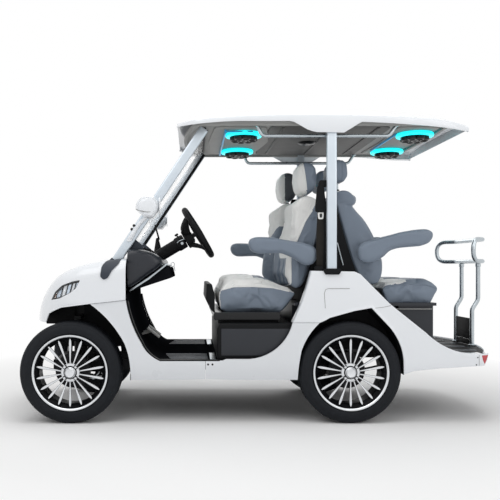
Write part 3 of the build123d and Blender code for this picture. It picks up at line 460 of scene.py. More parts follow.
# ------------------------------------------------------------------ settings
class CartSizes(bpy.types.PropertyGroup):
    """Sizes that a user would change, in metres."""
    tyre_radius: FloatProperty(name="Tyre radius", description="Outer radius of every tyre",
                               default=0.302, unit="LENGTH", subtype="DISTANCE")
    tyre_width: FloatProperty(name="Tyre width", description="Width of every tyre across its walls",
                              default=0.190, unit="LENGTH", subtype="DISTANCE")
    blades: IntProperty(name="Blades", description="Blades in each wheel", default=18, min=5, max=36)
    cushion_swell: FloatProperty(name="Cushion swell", description="Furthest that stuffing pushes a cover out",
                                 default=0.018, unit="LENGTH", subtype="DISTANCE")
    cover_mesh: FloatProperty(name="Cover mesh", description="Spacing of the cushion covers' mesh",
                              default=0.010, min=0.004, unit="LENGTH", subtype="DISTANCE")


class CartColours(bpy.types.PropertyGroup):
    """Colours of the finishes that a user would change."""
    body: FloatVectorProperty(name="Body", description="Body panels and roof", size=4, subtype="COLOR",
                              default=linear("#eceff3"))
    vinyl: FloatVectorProperty(name="Seat sides", description="Grey vinyl of the seats", size=4, subtype="COLOR",
                               default=linear("#74808f"))
    insert: FloatVectorProperty(name="Seat inserts", description="White vinyl of the seats", size=4, subtype="COLOR",
                                default=linear("#ebebe9"))
    ring: FloatVectorProperty(name="Overhead rings", description="Light of the overhead rings", size=4,
                              subtype="COLOR", default=linear("#18f3fa"))


AXLES = (
    # name, middle of the tyre in metres
    ("front", (1.160, 0.490, 0.302)),
    ("rear", (-0.505, 0.490, 0.302)),
)

COWL_ROWS = (
    # X, half width, shoulder height, shoulder radius, crown height
    (1440, 150, 600, 25, 645), (1400, 290, 645, 50, 716), (1330, 425, 735, 65, 822), (1255, 520, 795, 75, 888),
    (1130, 575, 845, 85, 948), (1000, 585, 870, 90, 980), (830, 585, 890, 90, 1006),
)
COWL_EDGE = (
    # X, height of the cowl's lower edge
    (830, 734), (1039, 711), (1127, 700), (1216, 688), (1275, 663), (1312, 645), (1330, 606), (1338, 588), (1440, 587),
)
LAMP = ((1290, 729), (1260, 779), (1210, 820), (1146, 843), (1098, 852), (1127, 800), (1164, 773), (1228, 741))
BOOT = ((979, 872), (972, 935), (945, 972), (905, 985), (872, 1006), (850, 1008), (872, 950), (911, 908), (933, 865),
        (958, 852))
FRONT_SIDE = outline(
    (803, 258), (808, 380, 838, 480), (925, 606, 1039, 709), (829, 732), (809, 640, 738, 478), (690, 412, 626, 374),
    (358, 374), (358, 264), (517, 258))
REAR_SIDE = outline(
    (356, 264), (356, 374), (254, 374), (235, 383), (94, 383), (-60, 442, -160, 597), (-316, 597),
    (-262, 535, -212, 439), (-197, 360, -190, 258), (200, 258))
QUARTER = outline(
    (-161, 599), (-225, 745, -272, 905), (-526, 900), (-560, 885), (-732, 712), (-791, 664), (-950, 537),
    (-1040, 468, -1130, 428), (-1215, 413, -1318, 420), (-1310, 380), (-1293, 344), (-1028, 328), (-880, 312),
    (-818, 290), (-815, 380), (-790, 480, -719, 587), (-625, 687), (-524, 669), (-377, 628), (-345, 610, -318, 599))
FRONT_ARCH = outline((803, 258), (808, 380, 838, 480), (925, 606, 1039, 709))
REAR_ARCH = outline(
    (-818, 290), (-815, 380), (-790, 480, -719, 587), (-625, 687), (-524, 669), (-377, 628), (-262, 535, -212, 439),
    (-197, 360, -190, 258))
ROOF_ROWS = (
    # X, half width, lower edge, edge height, crown height
    (528, 430, 1790, 1800, 1822), (450, 560, 1774, 1796, 1846), (264, 590, 1786, 1812, 1882),
    (-46, 590, 1790, 1826, 1900), (-479, 590, 1788, 1826, 1902), (-850, 590, 1770, 1810, 1880),
    (-1097, 585, 1748, 1784, 1850), (-1215, 545, 1738, 1762, 1806),
)
STRUT_FOOT, STRUT_TOP, STRUT_Y = (930, 920), (340, 1806), 462
PODS = ((110, 300), (110, -300), (-974, 300), (-974, -300))


# ------------------------------------------------------------------ wheels
class CART_OT_wheels(bpy.types.Operator):
    """Builds the four tyres and cast wheels."""
    bl_idname = "cart.wheels"
    bl_label = "Wheels"

    def execute(self, context):
        sizes = context.scene.cart_sizes
        rubber, wheel = self.tyre(sizes), self.wheel(sizes)
        for end, middle in AXLES:
            for name, side in (("left", 1), ("right", -1)):
                at = Matrix.Translation((middle[0], middle[1] * side, middle[2]))
                turn = at if side > 0 else at @ ACROSS
                body = f"{end}_{name}"
                put(moved(rubber, f"tyre_{body}_cover", turn), body, f"tyre_{body}", slot="tyre_rubber")
                put(moved(wheel, f"wheel_{body}_casting", turn), body, f"wheel_{body}", slot="cast_alloy")
        bpy.data.objects.remove(rubber)
        bpy.data.objects.remove(wheel)
        return {"FINISHED"}

    @staticmethod
    def tyre(sizes):
        """A tyre about the Y axis: ribbed walls, and a tread of blocks between four grooves."""
        half, crown = sizes.tyre_width / MM / 2, sizes.tyre_radius / MM
        wall = [(203.3, 0.74 * half), (208, 0.80 * half), (216, 0.85 * half), (222, 0.905 * half), (226, 0.89 * half),
                (234, 0.955 * half), (246, 0.995 * half), (250, 0.985 * half), (254, 0.995 * half),
                (266, 0.975 * half), (276, 0.94 * half), (280, 0.905 * half), (284, 0.90 * half),
                (291, 0.86 * half), (297, 0.80 * half)]
        grooves = (0.52, 0.44, 0.17, 0.09)
        tread = [(crown - 0.5, 0.70 * half)]
        for y in (0.6, *grooves, 0.0, *(-g for g in reversed(grooves)), -0.6):
            tread.append((crown, y * half))
        section = wall + tread + [(crown - 0.5, -0.70 * half)] + [(r, -y) for r, y in reversed(wall)]
        section += [(203.3, 0.0)]
        count = 216
        dig = {n for n, (r, y) in enumerate(section) if r == crown}
        rings = []
        for k in range(count + 1):
            a, ring = 2 * pi * k / count, []
            for n, (r, y) in enumerate(section):
                share = y / half
                if n in dig:
                    in_groove = any(abs(abs(share) - g) < 0.05 for g in (0.48, 0.13))
                    sipe = abs(share) > 0.5 and k % 6 == 0 or abs(share) < 0.5 and (k + 3) % 9 == 0
                    r -= 6 if in_groove else 4 if sipe else 0
                ring.append((r * cos(a) * MM, y * MM, r * sin(a) * MM))
            rings.append(ring)
        made = skin_piece("tyre_form", rings, "rubber", closed=True)
        return sharpened(made, 32)

    @staticmethod
    def wheel(sizes):
        """A cast wheel about the Y axis: dark stepped barrel, thin bright lip, slim blades, hub, nuts and cap."""
        half = sizes.tyre_width / MM / 2
        lip = half - 1
        barrel = [(199, -0.86 * half), (203, -0.86 * half), (203, 0.80 * half), (213, lip - 9), (210, lip - 6),
                  (207, 0.84 * half), (190, 0.68 * half), (187, 0.60 * half), (197, 0.50 * half)]
        rim = [(212, lip - 8), (220, lip - 8), (224, lip - 5), (225, lip - 2), (224, lip), (217, lip), (215, lip - 1.5),
               (212, lip - 5)]
        hub = [(0, 12), (46, 12), (52, 20), (56, 60), (57, 70), (54, 74), (38, 75), (0, 75)]
        well = [(0, 70), (40, 70), (40, 75.6), (0, 75.6)]
        cap = [(0, 74), (33, 74), (33, 84), (30, 86), (28, 92), (25, 94.5), (21, 93), (0, 93.5)]
        seat, nut = [(0, 70), (13.5, 70), (13.5, 75.8), (0, 75.8)], [(0, 70), (9, 70), (9, 84), (7, 87), (0, 88)]

        def cast(name, section, finish, count, at=(0, 0, 0)):
            """A piece turned about a line along Y, from a section of (radius, Y)."""
            return turned(name, [(r, -y) for r, y in section], at, (0, -1, 0), finish, count)

        pieces = [cast("barrel", barrel, "enamel", 90), cast("rim_lip", rim, "alloy", 120)]
        blade = CART_OT_wheels.blade()
        for n in range(sizes.blades):
            pieces.append(moved(blade, "blade_n", Matrix.Rotation(2 * pi * (n + 0.5) / sizes.blades, 4, "Y")))
        bpy.data.objects.remove(blade)
        pieces += [cast("hub_boss", hub, "alloy", 48), cast("hub_well", well, "enamel", 48),
                   cast("centre_cap", cap, "alloy", 48)]
        for n in range(4):
            a = pi / 4 + n * pi / 2
            at = (0.0465 * cos(a), 0, 0.0465 * sin(a))
            pieces += [cast("nut_seat", seat, "enamel", 24, at), cast("nut", nut, "alloy", 6, at)]
        return joined("wheel_form", pieces)

    @staticmethod
    def blade():
        """One slim blade: its turned face bright, its cast sides dark, widest well out, with a rounded tip."""
        rows = (
            # radius, half width of the face, face height, depth
            (52, 3.0, 76, 14), (70, 3.5, 76.5, 16), (110, 4.8, 76, 18), (150, 6.6, 76.5, 18), (172, 7.2, 77.5, 18),
            (187, 6.2, 79, 18), (196, 4.0, 80.5, 15), (201, 1.6, 81, 12),
        )
        rings = []
        for r, w, y, deep in rows:
            rings.append([(r, y - deep, -w * 0.72), (r, y - 2.0, -w - 0.9), (r, y, -w + 0.5), (r, y, w - 0.5),
                          (r, y - 2.0, w + 0.9), (r, y - deep, w * 0.72)])
        made = skin_piece("blade_form", np.array(rings) * MM, "alloy", "enamel", closed=True, caps=True)
        for polygon in made.data.polygons:
            polygon.material_index = 0 if polygon.normal.y > 0.8 else 1
        return sharpened(made, 30)


# ------------------------------------------------------------------ body shells
def cowl_surface(name, grow, finish, thickness, lining=None):
    """The cowl as a smooth skin grown by some millimetres: side walls, round shoulders and a low crown. A lining is
    the finish of its inner face."""
    xs = np.unique(np.concatenate([np.linspace(*run) for run in ((830, 1260, 30), (1260, 1320, 16),
                                                                 (1320, 1440, 14))]))
    rows = smooth_rows(COWL_ROWS, xs)
    low = np.interp(xs, *np.array(COWL_EDGE, float).T)
    rings = []
    for (x, half, shoulder, radius, crown), bottom in zip(rows, low):
        half, crown = half + grow, crown + grow
        wall = [(half, bottom + (shoulder - bottom) * t) for t in np.linspace(0, 1, 8)]
        bend = [(half - radius + radius * cos(a), shoulder + radius * sin(a)) for a in np.linspace(0, pi / 2, 9)[1:]]
        start = half - radius
        top = [(start * (1 - t), shoulder + radius + (crown - shoulder - radius) * (1 - (1 - t) ** 2))
               for t in np.linspace(0, 1, 13)[1:]]
        side = wall + bend + top
        ring = [(x, y, z) for y, z in side] + [(x, -y, z) for y, z in reversed(side[:-1])]
        rings.append(np.array(ring) * MM)
    rings.append([(1.4405, p[1] * 0.9, 0.588 + (p[2] - 0.588) * 0.9) for p in rings[-1]])
    rings.append([(1.441, p[1] * 0.4, 0.592 + (p[2] - 0.592) * 0.5) for p in rings[-1]])
    made = skin_piece(name, rings, *filter(None, (finish, lining)))
    modify(made, "SOLIDIFY", thickness=thickness * MM, offset=-1.0, material_offset=1 if lining else 0)
    settle(made)
    return made


def body_sheet(name, points, finish, lips=(), inner=0.559, spacing=0.012):
    """A moulded side panel over a gently curved form, with a raised lip along the wheel opening."""
    edge = dense([*points, points[0]], 0.005)[:-1]
    lines = [dense(lip, 0.004) for lip in lips]
    low, high = edge.min(0), edge.max(0)
    grid = [(x, z) for x in np.arange(low[0], high[0], spacing) for z in np.arange(low[1], high[1], spacing)]
    for line in lines:
        step = np.gradient(line, axis=0)
        across = np.stack([-step[:, 1], step[:, 0]], 1) / np.hypot(*step.T)[:, None]
        grid += [tuple(p) for reach in (-0.024, -0.018, -0.012, -0.007, 0.007, 0.012, 0.018, 0.024)
                 for p in line[::2] + across[::2] * reach]
    grid = np.array(grid)
    gap = np.sqrt(((grid[:, None] - edge) ** 2).sum(-1)).min(1)
    seeds = [Vector(p) for p in (*edge, *grid[gap > 0.0045])]
    flat, _, faces, *_ = delaunay_2d_cdt(seeds, [], [list(range(len(edge)))], 1, 1e-6)
    flat = np.array([tuple(p) for p in flat])
    outer = np.full(len(flat), PANEL_Y)
    outer -= 0.022 * ramp(flat[:, 1], 0.37, -0.12) ** 2
    outer -= 0.004 * ramp(flat[:, 1], 0.70, 0.2) ** 2
    for line in lines:
        away = np.sqrt(((flat[:, None] - line) ** 2).sum(-1)).min(1)
        outer += 0.0062 * ridge(away, 0, 0.011)
    count = len(flat)
    front = [(x, y, z) for (x, z), y in zip(flat, outer)]
    back = [(x, inner, z) for x, z in flat]
    uses = {}
    for face in faces:
        for pair in zip(face, [*face[1:], face[0]]):
            uses[frozenset(pair)] = None if frozenset(pair) in uses else pair
    walls = [(a, b, b + count, a + count) for a, b in filter(None, uses.values())]
    sheet = mesh_piece(name, front + back, [*faces, *(tuple(v + count for v in f) for f in faces), *walls], finish)
    return rounded(sheet, 0.002, 2, 50)


def dense(points, spacing):
    """Points along a path no further apart than spacing."""
    path = np.array(points, float)
    along = np.concatenate([[0], np.cumsum(np.hypot(*np.diff(path, axis=0).T))])
    at = np.linspace(0, along[-1], max(2, int(along[-1] / spacing)))
    return np.stack([np.interp(at, along, path[:, k]) for k in (0, 1)], 1)


def edge_band(name, points, y, finish, thickness):
    """A wall of one thickness, square to the side view, along a path in X and Z."""
    made = skin_piece(name, [[(x, at, z) for x, z in points] for at in y], finish)
    modify(made, "SOLIDIFY", thickness=thickness * MM, offset=0.0)
    return rounded(settle(made), 0.0008, 2)


def seam(name, points, radius):
    """A thin dark line on the side panels' outer face, through points in millimetres."""
    return tube(name, [(x * MM, PANEL_Y, z * MM) for x, z in dense(points, 8)], radius, "liner", 2)


class CART_OT_cowl(bpy.types.Operator):
    """Builds the front cowl, its lamps and the strut boots."""
    bl_idname = "cart.cowl"
    bl_label = "Front cowl"

    def execute(self, context):
        cowl = cowl_surface("cowl_skin", 0, "white", 5, "black")
        lamp_path = soft_outline(LAMP, 5, 1)
        window = plate("lamp_window", lamp_path, (0.25, 0.62), "white", 0)
        cut(cowl, moved(window, "lamp_window_r", ACROSS))
        cut(cowl, window)
        rounded(cowl, 0.0015, 2, 50)
        edge = tube("cowl_lip", [(x * MM, (580 - 0.0042 * max(0, x - 1130) ** 1.6) * MM, (z + 3) * MM)
                                 for x, z in dense(COWL_EDGE[1:5], 12)], 3.4, "white")
        edges = on_both_sides("cowl_lips", edge)
        guard = plate("nose_guard", outline((1255, 562), (1262, 705), (1372, 690), (1392, 600), (1378, 562)),
                      (0.200, 0.206), "black", 0.001)
        cowl = joined("cowl_skin", [cowl, edges, on_both_sides("nose_guards", guard)])
        put(cowl, CHASSIS, "front_cowl", slot="white_body")
        self.lamps()
        self.boots()
        return {"FINISHED"}

    @staticmethod
    def lamps():
        """A dark bowl, stepped reflector bars, an amber strip and a clear lens that follows the cowl."""
        path = soft_outline(LAMP, 5, 1)
        lens = cowl_surface("lamp_lens", 1.5, "lens", 4)
        cut(lens, plate("lens_cut", path, (0.25, 0.62), "lens", 0), "INTERSECT")
        bowl = cowl_surface("lamp_bowl", -26, "enamel", 3)
        cut(bowl, plate("bowl_cut", path, (0.22, 0.62), "lens", 0), "INTERSECT")
        rim = cowl_surface("lamp_rim", -1, "enamel", 26)
        inner = soft_outline([(1192 + (x - 1196) * 0.86, 790 + (z - 792) * 0.78) for x, z in LAMP], 5, 1)
        cut(rim, plate("rim_cut", path, (0.25, 0.62), "lens", 0), "INTERSECT")
        cut(rim, plate("rim_hole", inner, (0.2, 0.7), "lens", 0))
        bars = []
        rows = (
            # X of the low edge's ends, finish
            (1268, 1260, "amber"), (1254, 1232, "reflector"), (1222, 1204, "white"),
            (1196, 1180, "reflector"), (1170, 1158, "white"), (1150, 1134, "reflector"),
        )
        lean = 34
        for n, (x0, x1, finish) in enumerate(rows):
            face = outline((x0, 735), (x1, 735), (x1 - lean, 850), (x0 - lean, 850))
            step = cowl_surface("lamp_bar", -12 - 2 * (n % 2), finish, 6)
            cut(step, plate("bar_cut", face, (0.25, 0.62), finish, 0), "INTERSECT")
            cut(step, plate("bar_trim", inner, (0.2, 0.7), finish, 0), "INTERSECT")
            if len(step.data.vertices):
                bars.append(step)
            else:
                bpy.data.objects.remove(step)
        unit = joined("lamp_unit", [bowl, rim, *bars])
        sharpened(unit, 40)
        put(on_both_sides("headlamp_units", unit), CHASSIS, "headlamps", slot="lamp_clear")
        put(on_both_sides("headlamp_lenses", sharpened(lens, 40)), CHASSIS, slot="lamp_clear")

    @staticmethod
    def boots():
        """The moulded cover round each strut's foot, wrapping over the shoulder of the cowl."""
        path = soft_outline(BOOT, 5, 3)
        boot = cowl_surface("strut_boot", 7, "boot", 6)
        cut(boot, plate("boot_cut", path, (0.38, 0.62), "boot", 0), "INTERSECT")
        rounded(boot, 0.003, 3, 45)
        sleeve_low, sleeve_high = (948, 893), (898, 968)
        rings = []
        for t, grow in ((0.0, 16), (0.25, 15), (0.6, 10), (0.92, 5), (1.0, 3)):
            x = sleeve_low[0] + (sleeve_high[0] - sleeve_low[0]) * t
            z = sleeve_low[1] + (sleeve_high[1] - sleeve_low[1]) * t
            ring = []
            for a in np.linspace(0, 2 * pi, 28, endpoint=False):
                c, s = np.sign(cos(a)) * abs(cos(a)) ** 0.5, np.sign(sin(a)) * abs(sin(a)) ** 0.5
                ring.append(((x + (30 + grow) * c * 0.83) * MM, (STRUT_Y + (17 + grow) * s) * MM,
                             (z + (30 + grow) * c * 0.55) * MM))
            rings.append(ring)
        sleeve = sharpened(skin_piece("strut_sleeve", rings, "boot", closed=True, caps=True), 50)
        put(on_both_sides("strut_boot_covers", joined("boot_pair", [boot, sleeve])), CHASSIS, "strut_boots",
            slot="black_moulding")


class CART_OT_sides(bpy.types.Operator):
    """Builds the sill panels, the rear quarters, their seams, lips and filler flap."""
    bl_idname = "cart.sides"
    bl_label = "Body sides"

    def execute(self, context):
        # Both side skins take the sill finish, whose darker white is painted shade.
        front = body_sheet("front_side_skin", FRONT_SIDE, "sill", [FRONT_ARCH])
        back = edge_band("front_side_return", FRONT_ARCH, (0.530, 0.576), "black", 3)
        put(on_both_sides("front_side_skins", joined("front_side_skin", [front, back])), CHASSIS,
            "front_side_panels", slot="white_body")
        rear = body_sheet("rear_side_skin", REAR_SIDE, "sill", [REAR_ARCH])
        screws = [turned("screw", [(0, 0), (6, 0), (6, 2.0), (4.5, 3.0), (2, 3.0), (1.6, 2.2), (0, 2.2)],
                         (x * MM, 0.5765, 0.352), (0, 1, 0), "enamel", 16) for x in (342, 316)]
        put(on_both_sides("rear_side_skins", joined("rear_side_skin", [rear, *screws])), CHASSIS,
            "rear_side_panels", slot="white_body")
        self.quarters()
        return {"FINISHED"}

    @staticmethod
    def quarters():
        """The quarter over the rear wheel, with its inner returns, filler flap and tail corner."""
        quarter = body_sheet("quarter_skin", QUARTER, "white", [REAR_ARCH], inner=0.566)
        crease = tube("quarter_crease", [(x * MM, 0.5772, z * MM) for x, z in
                                         dense([(-752, 674), (-960, 512), (-1130, 405), (-1290, 385)], 14)],
                      2.4, "white", 3)
        lines = [seam("flap_line", [(-352, 685), (-346, 770), (-352, 794), (-366, 801), (-496, 801)], 1.4),
                 seam("tail_seam", [(-634, 684), (-690, 690), (-742, 701)], 1.3),
                 seam("tail_seam", [(-1262, 408), (-1262, 346)], 1.3)]
        screws = [turned("screw", [(0, 0), (4, 0), (4, 2), (2.5, 3), (0, 3)], (x * MM, 0.577, z * MM), (0, 1, 0),
                         "enamel", 16) for x, z in ((-1254, 393), (-1246, 350))]
        lens = body_sheet("corner_lens", outline((-1278, 405), (-1315, 409), (-1307, 382), (-1295, 354), (-1286, 374)),
                          "red", spacing=0.006)
        lens.data.transform(Matrix.Translation((0, 0.0025, 0)))
        put(on_both_sides("corner_lenses", lens), CHASSIS, slot="lamp_red")
        returns = [edge_band("quarter_return", QUARTER[:-31], (0.508, 0.572), "white", 4),
                   edge_band("quarter_arch", REAR_ARCH[:22], (0.508, 0.574), "black", 3)]
        quarter = joined("quarter_skin", [quarter, *returns, crease, *lines, *screws])
        put(on_both_sides("quarter_skins", quarter), CHASSIS, "rear_quarters", slot="white_body")


# ------------------------------------------------------------------ roof and what hangs from it
class CART_OT_roof(bpy.types.Operator):
    """Builds the roof shell, the headliner and the grab rails."""
    bl_idname = "cart.roof"
    bl_label = "Roof"

    def execute(self, context):
        self.shell()
        self.liner()
        self.rails()
        return {"FINISHED"}

    @staticmethod
    def shell():
        """A crowned skin that rolls under at its edge, with a deeper skirt over each rear pillar."""
        xs = np.concatenate([np.linspace(528, 400, 14), np.linspace(400, -1080, 56)[1:],
                             np.linspace(-1080, -1215, 10)[1:]])
        rows = smooth_rows(ROOF_ROWS, xs)
        skirt = np.array([(-150, 0), (-170, 8), (-210, 32), (-255, 58), (-300, 68), (-460, 69), (-500, 44), (-535, 20),
                          (-562, 0)], float)
        rings = []
        for x, half, low, edge, crown in rows:
            drop = np.interp(-x, -skirt[:, 0], skirt[:, 1], left=0, right=0)
            side = [(half - 30, low + 6), (half - 8, low + 1), (half - 1.5, low + 1 - drop * 0.98),
                    (half, low + 4 - drop), (half, edge - 8), (half - 3, edge + 2), (half - 9, edge + 8),
                    (half - 18, edge + 12)]
            start = half - 18
            side += [(start * (1 - t), edge + 12 + (crown - edge - 12) * (1 - (1 - t) ** 4.4))
                     for t in np.linspace(0, 1, 16)[1:]]
            ring = [(x, y, z) for y, z in side] + [(x, -y, z) for y, z in reversed(side[:-1])]
            rings.append(np.array(ring) * MM)
        first, last = rings[0], rings[-1]
        rings.insert(0, [(0.5275, p[1] * 0.98, min(p[2], 1.8)) for p in first])
        rings.append([(-1.2148, p[1] * 0.98, min(p[2], 1.748)) for p in last])
        made = skin_piece("roof_shell", rings, "white")
        modify(made, "SOLIDIFY", thickness=0.004, offset=-1.0)
        settle(made)
        put(sharpened(made, 44), CHASSIS, "roof_skin", slot="white_body")

    @staticmethod
    def liner():
        """A moulded lining: a dark middle, paler pod panels and ribs that stand down from it."""
        plan = outline((430, -480), (490, 0, 430, 480), (400, 548, 330, 566), (-1020, 566), (-1090, 548, -1112, 470),
                       (-1126, 0, -1112, -470), (-1090, -548, -1020, -566), (330, -566), (400, -548, 430, -480))
        base = slab("liner_base", plan, (1.784, 1.796), "liner", 0.002)
        rim = edge_band_plan("liner_rim", plan, (1.770, 1.786), "liner", 22)
        middle = slab("liner_middle", soft_outline([(-40, -500), (-40, 500), (-180, 530), (-640, 530), (-780, 470),
                      (-780, -470), (-640, -530), (-180, -530)], 20, 6), (1.778, 1.786), "liner_dark", 0.002)
        pieces = [base, rim, middle]
        for x0, x1, bow in ((300, -20, 1), (-820, -1085, -1)):
            panel = soft_outline([(x0, -470), (x0 + 24 * bow, 0), (x0, 470), (x1, 470), (x1 - 60 * bow, 0), (x1, -470)],
                                 20, 5)
            pieces.append(slab("pod_panel", panel, (1.776, 1.786), "liner", 0.004))
        for x in (-120, -410, -700):
            pieces.append(bar("liner_rib", (x - 9, x + 9), (-470, 470), (1772, 1780), "liner_dark", 0.003))
        lamp = [(0, 0), (62, 0), (62, 5), (52, 12), (30, 17), (0, 18)]
        pieces.append(turned("dome_lamp", lamp, (-0.345, -0.02, 1.780), (0, 0, -1), "enamel", 40))
        put(joined("headliner_moulding", pieces), CHASSIS, "headliner", slot="liner_grey")

    @staticmethod
    def rails():
        """A stainless grab rail under each edge, with a flange at each end."""
        path = eased([(44, 522, 1783), (19, 522, 1716), (-746, 522, 1716), (-790, 522, 1783)], 40)
        foot = [(0, 0), (20, 0), (20, 3), (14, 7), (12, 7), (0, 7)]
        parts = [tube("grab_rail", path, 11, "stainless", 5)]
        for x in (44, -788):
            parts.append(turned("rail_foot", foot, (x * MM, 0.522, 1.782), (0, 0, -1), "stainless", 28))
        put(on_both_sides("grab_rail_pair", joined("grab_rail", parts)), CHASSIS, "grab_rails", slot="bright_tube")


def edge_band_plan(name, points, z, finish, thickness):
    """A low wall of one thickness just inside a closed plan outline."""
    made = skin_piece(name, [[(x, y, at) for x, y in points] for at in z], finish, closed=True)
    modify(made, "SOLIDIFY", thickness=thickness * MM, offset=-1.0)
    return rounded(settle(made), 0.003, 2)


class CART_OT_pods(bpy.types.Operator):
    """Builds the four overhead pods, their lit rings and the front pair's bracket, whose glow is painted light."""
    bl_idname = "cart.pods"
    bl_label = "Overhead pods"

    def execute(self, context):
        cap = [(0, 0), (96, 0), (96, 8), (104, 12), (104, 14), (0, 14)]
        ring = [(84, 9), (110, 9), (114, 12), (116, 18), (116, 24), (113, 30), (106, 33), (90, 33), (84, 30)]
        dish = [(0, 20), (90, 20), (92, 28), (88, 33), (80, 36), (0, 37)]
        horn = [(0, 30), (27, 30), (30, 40), (30, 50), (27, 56), (20, 58), (16, 51), (0, 50)]
        core = [(0, 30), (30, 30), (30, 48), (24, 56), (14, 56), (10, 50), (0, 50)]
        down = (0, 0, -1)
        pods = []
        for x, y in PODS:
            at = (x * MM, y * MM, CEILING)
            pods.append(turned("pod_cap", cap, at, down, "black", 64))
            pods.append(turned("pod_ring", ring, at, down, "glow", 80))
            pods.append(turned("pod_dish", dish, at, down, "enamel", 64))
            for n in range(8):
                a = 2 * pi * n / 8 + 0.2
                spot = (at[0] + 0.060 * cos(a), at[1] + 0.060 * sin(a), CEILING)
                pods.append(turned("pod_horn", horn, spot, down, "enamel", 24))
            pods.append(turned("pod_core", core, at, down, "enamel", 28))
        put(joined("overhead_pods", pods), CHASSIS, "roof_pods", slot="black_moulding")
        # The brackets glow with painted light from the rings: emission on parts that are no lamp.
        lights = [bar("light_bar", (226, 236), (-410, 410), (1752, 1768), "bracket", 0.004)]
        for y in (-410, 410):
            lights.append(bar("light_arm", (60, 236), (y - 5, y + 5), (1760, 1770), "bracket", 0.003))
            lights.append(bar("light_drop", (226, 236), (y - 5, y + 5), (1766, 1784), "bracket", 0.003))
        lights.append(bar("light_back", (-862, -852), (-300, 300), (1764, 1776), "bracket", 0.003))
        lights.append(bar("light_back_foot", (-862, -852), (-20, 20), (1770, 1784), "bracket", 0.003))
        put(joined("painted_glow_brackets", lights), CHASSIS, slot="clear_glass")
        return {"FINISHED"}


class CART_OT_screen(bpy.types.Operator):
    """Builds the windscreen with its seals, the struts and the mirrors."""
    bl_idname = "cart.screen"
    bl_label = "Windscreen"

    def execute(self, context):
        foot, top = Vector((*STRUT_FOOT, 0)) * MM, Vector((*STRUT_TOP, 0)) * MM
        run = (top - foot).normalized()
        side = Vector((run.y, -run.x, 0))
        low, high = foot + run * 0.006, foot + run * ((CEILING - foot.y) / run.y - 0.012)
        corners = [low - side * 0.028, low + side * 0.028, high + side * 0.028, high - side * 0.028]
        strut = plate("screen_strut", [(c.x, c.y) for c in corners], (0.445, 0.479), "tube", 0.009, 4)
        screws = [turned("strut_screw", [(0, 0), (9, 0), (9, 2), (6, 4), (2.5, 4), (2, 2.5), (0, 2.5)],
                         (x * MM, 0.479, z * MM), (0, 1, 0), "enamel", 18) for x, z in ((789, 1180), (802, 1158))]
        put(on_both_sides("screen_struts", joined("screen_strut", [strut, *screws])), CHASSIS, "front_struts",
            slot="bright_tube")
        reach = (top - foot).length
        a, b = foot + run * reach * 0.14, top - run * 0.034
        pane = plate("screen_pane", [(p.x, p.y) for p in (a, b, b - side * 0.005, a - side * 0.005)],
                     (-PANE_Y, PANE_Y), "glass", 0.001)
        put(pane, CHASSIS, "windscreen", slot="clear_glass")
        edges = []
        seal = [a - run * 0.02 - side * 0.026, b - side * 0.026, b - side * 0.0055, a - run * 0.02 - side * 0.0055]
        for y in ((-PANE_Y, 0.006 - PANE_Y), (PANE_Y - 0.006, PANE_Y)):
            edges.append(plate("screen_seal", [(p.x, p.y) for p in seal], y, "black", 0.001))
        for p in (a, b):
            edges.append(tube("screen_seal", [(p.x, -0.437, p.y), (p.x, 0.437, p.y)], 8, "black", 3))
        put(joined("screen_seals", edges), CHASSIS, slot="black_moulding")
        self.mirrors()
        return {"FINISHED"}

    @staticmethod
    def mirrors():
        """A rounded white housing with its glass facing back, on an arm from the strut."""
        rings = []
        profile = soft_outline([(770, 1287), (761, 1313), (738, 1338), (697, 1350), (655, 1341), (633, 1313),
                                (628, 1280), (638, 1248), (661, 1215), (714, 1217), (738, 1237), (767, 1262)], 9, 1)
        middle = np.mean(profile, 0)
        for y, scale in ((500, 0.55), (506, 0.80), (518, 0.94), (548, 1.0), (600, 1.0), (636, 0.97), (654, 0.86),
                         (663, 0.66), (667, 0.34)):
            rings.append([(middle[0] + (x - middle[0]) * scale, y * MM, middle[1] + (z - middle[1]) * scale)
                          for x, z in profile])
        shell = skin_piece("mirror_shell", rings, "white", closed=True, caps=True)
        modify(shell, "SUBSURF", levels=1)
        settle(shell)
        ledge = tube("mirror_lip", [(middle[0] + (x - middle[0]) * 0.78, 0.658, middle[1] + (z - middle[1]) * 0.78)
                                    for x, z in profile], 2.0, "white", 2, cyclic=True)
        face = soft_outline([(522, 1240), (522, 1335), (645, 1335), (645, 1240)], 10, 2)
        glass = prism("mirror_glass", *([(x, y, z) for y, z in face] for x in (0.6265, 0.6300)), "alloy", 0.0012)
        arm_path = eased([(815, 492, 1100), (752, 492, 1195), (716, 494, 1226), (700, 520, 1246)], 60)
        arm = tube("mirror_arm", arm_path, 12, "white", 4)
        foot = plate("mirror_foot", soft_outline([(838, 1085), (780, 1180), (752, 1180), (806, 1080)], 8, 2),
                     (0.479, 0.497), "white", 0.004)
        band = tube("mirror_band", eased([(765, 628, 1267), (753, 653, 1259), (724, 665, 1250), (690, 665.5, 1247),
                                          (656, 657, 1251), (640, 630, 1257)], 12), 2.0, "liner", 2)
        put(on_both_sides("mirror_pair", joined("mirror", [shell, ledge, band, glass, arm, foot])), CHASSIS, "mirrors",
            slot="white_body")


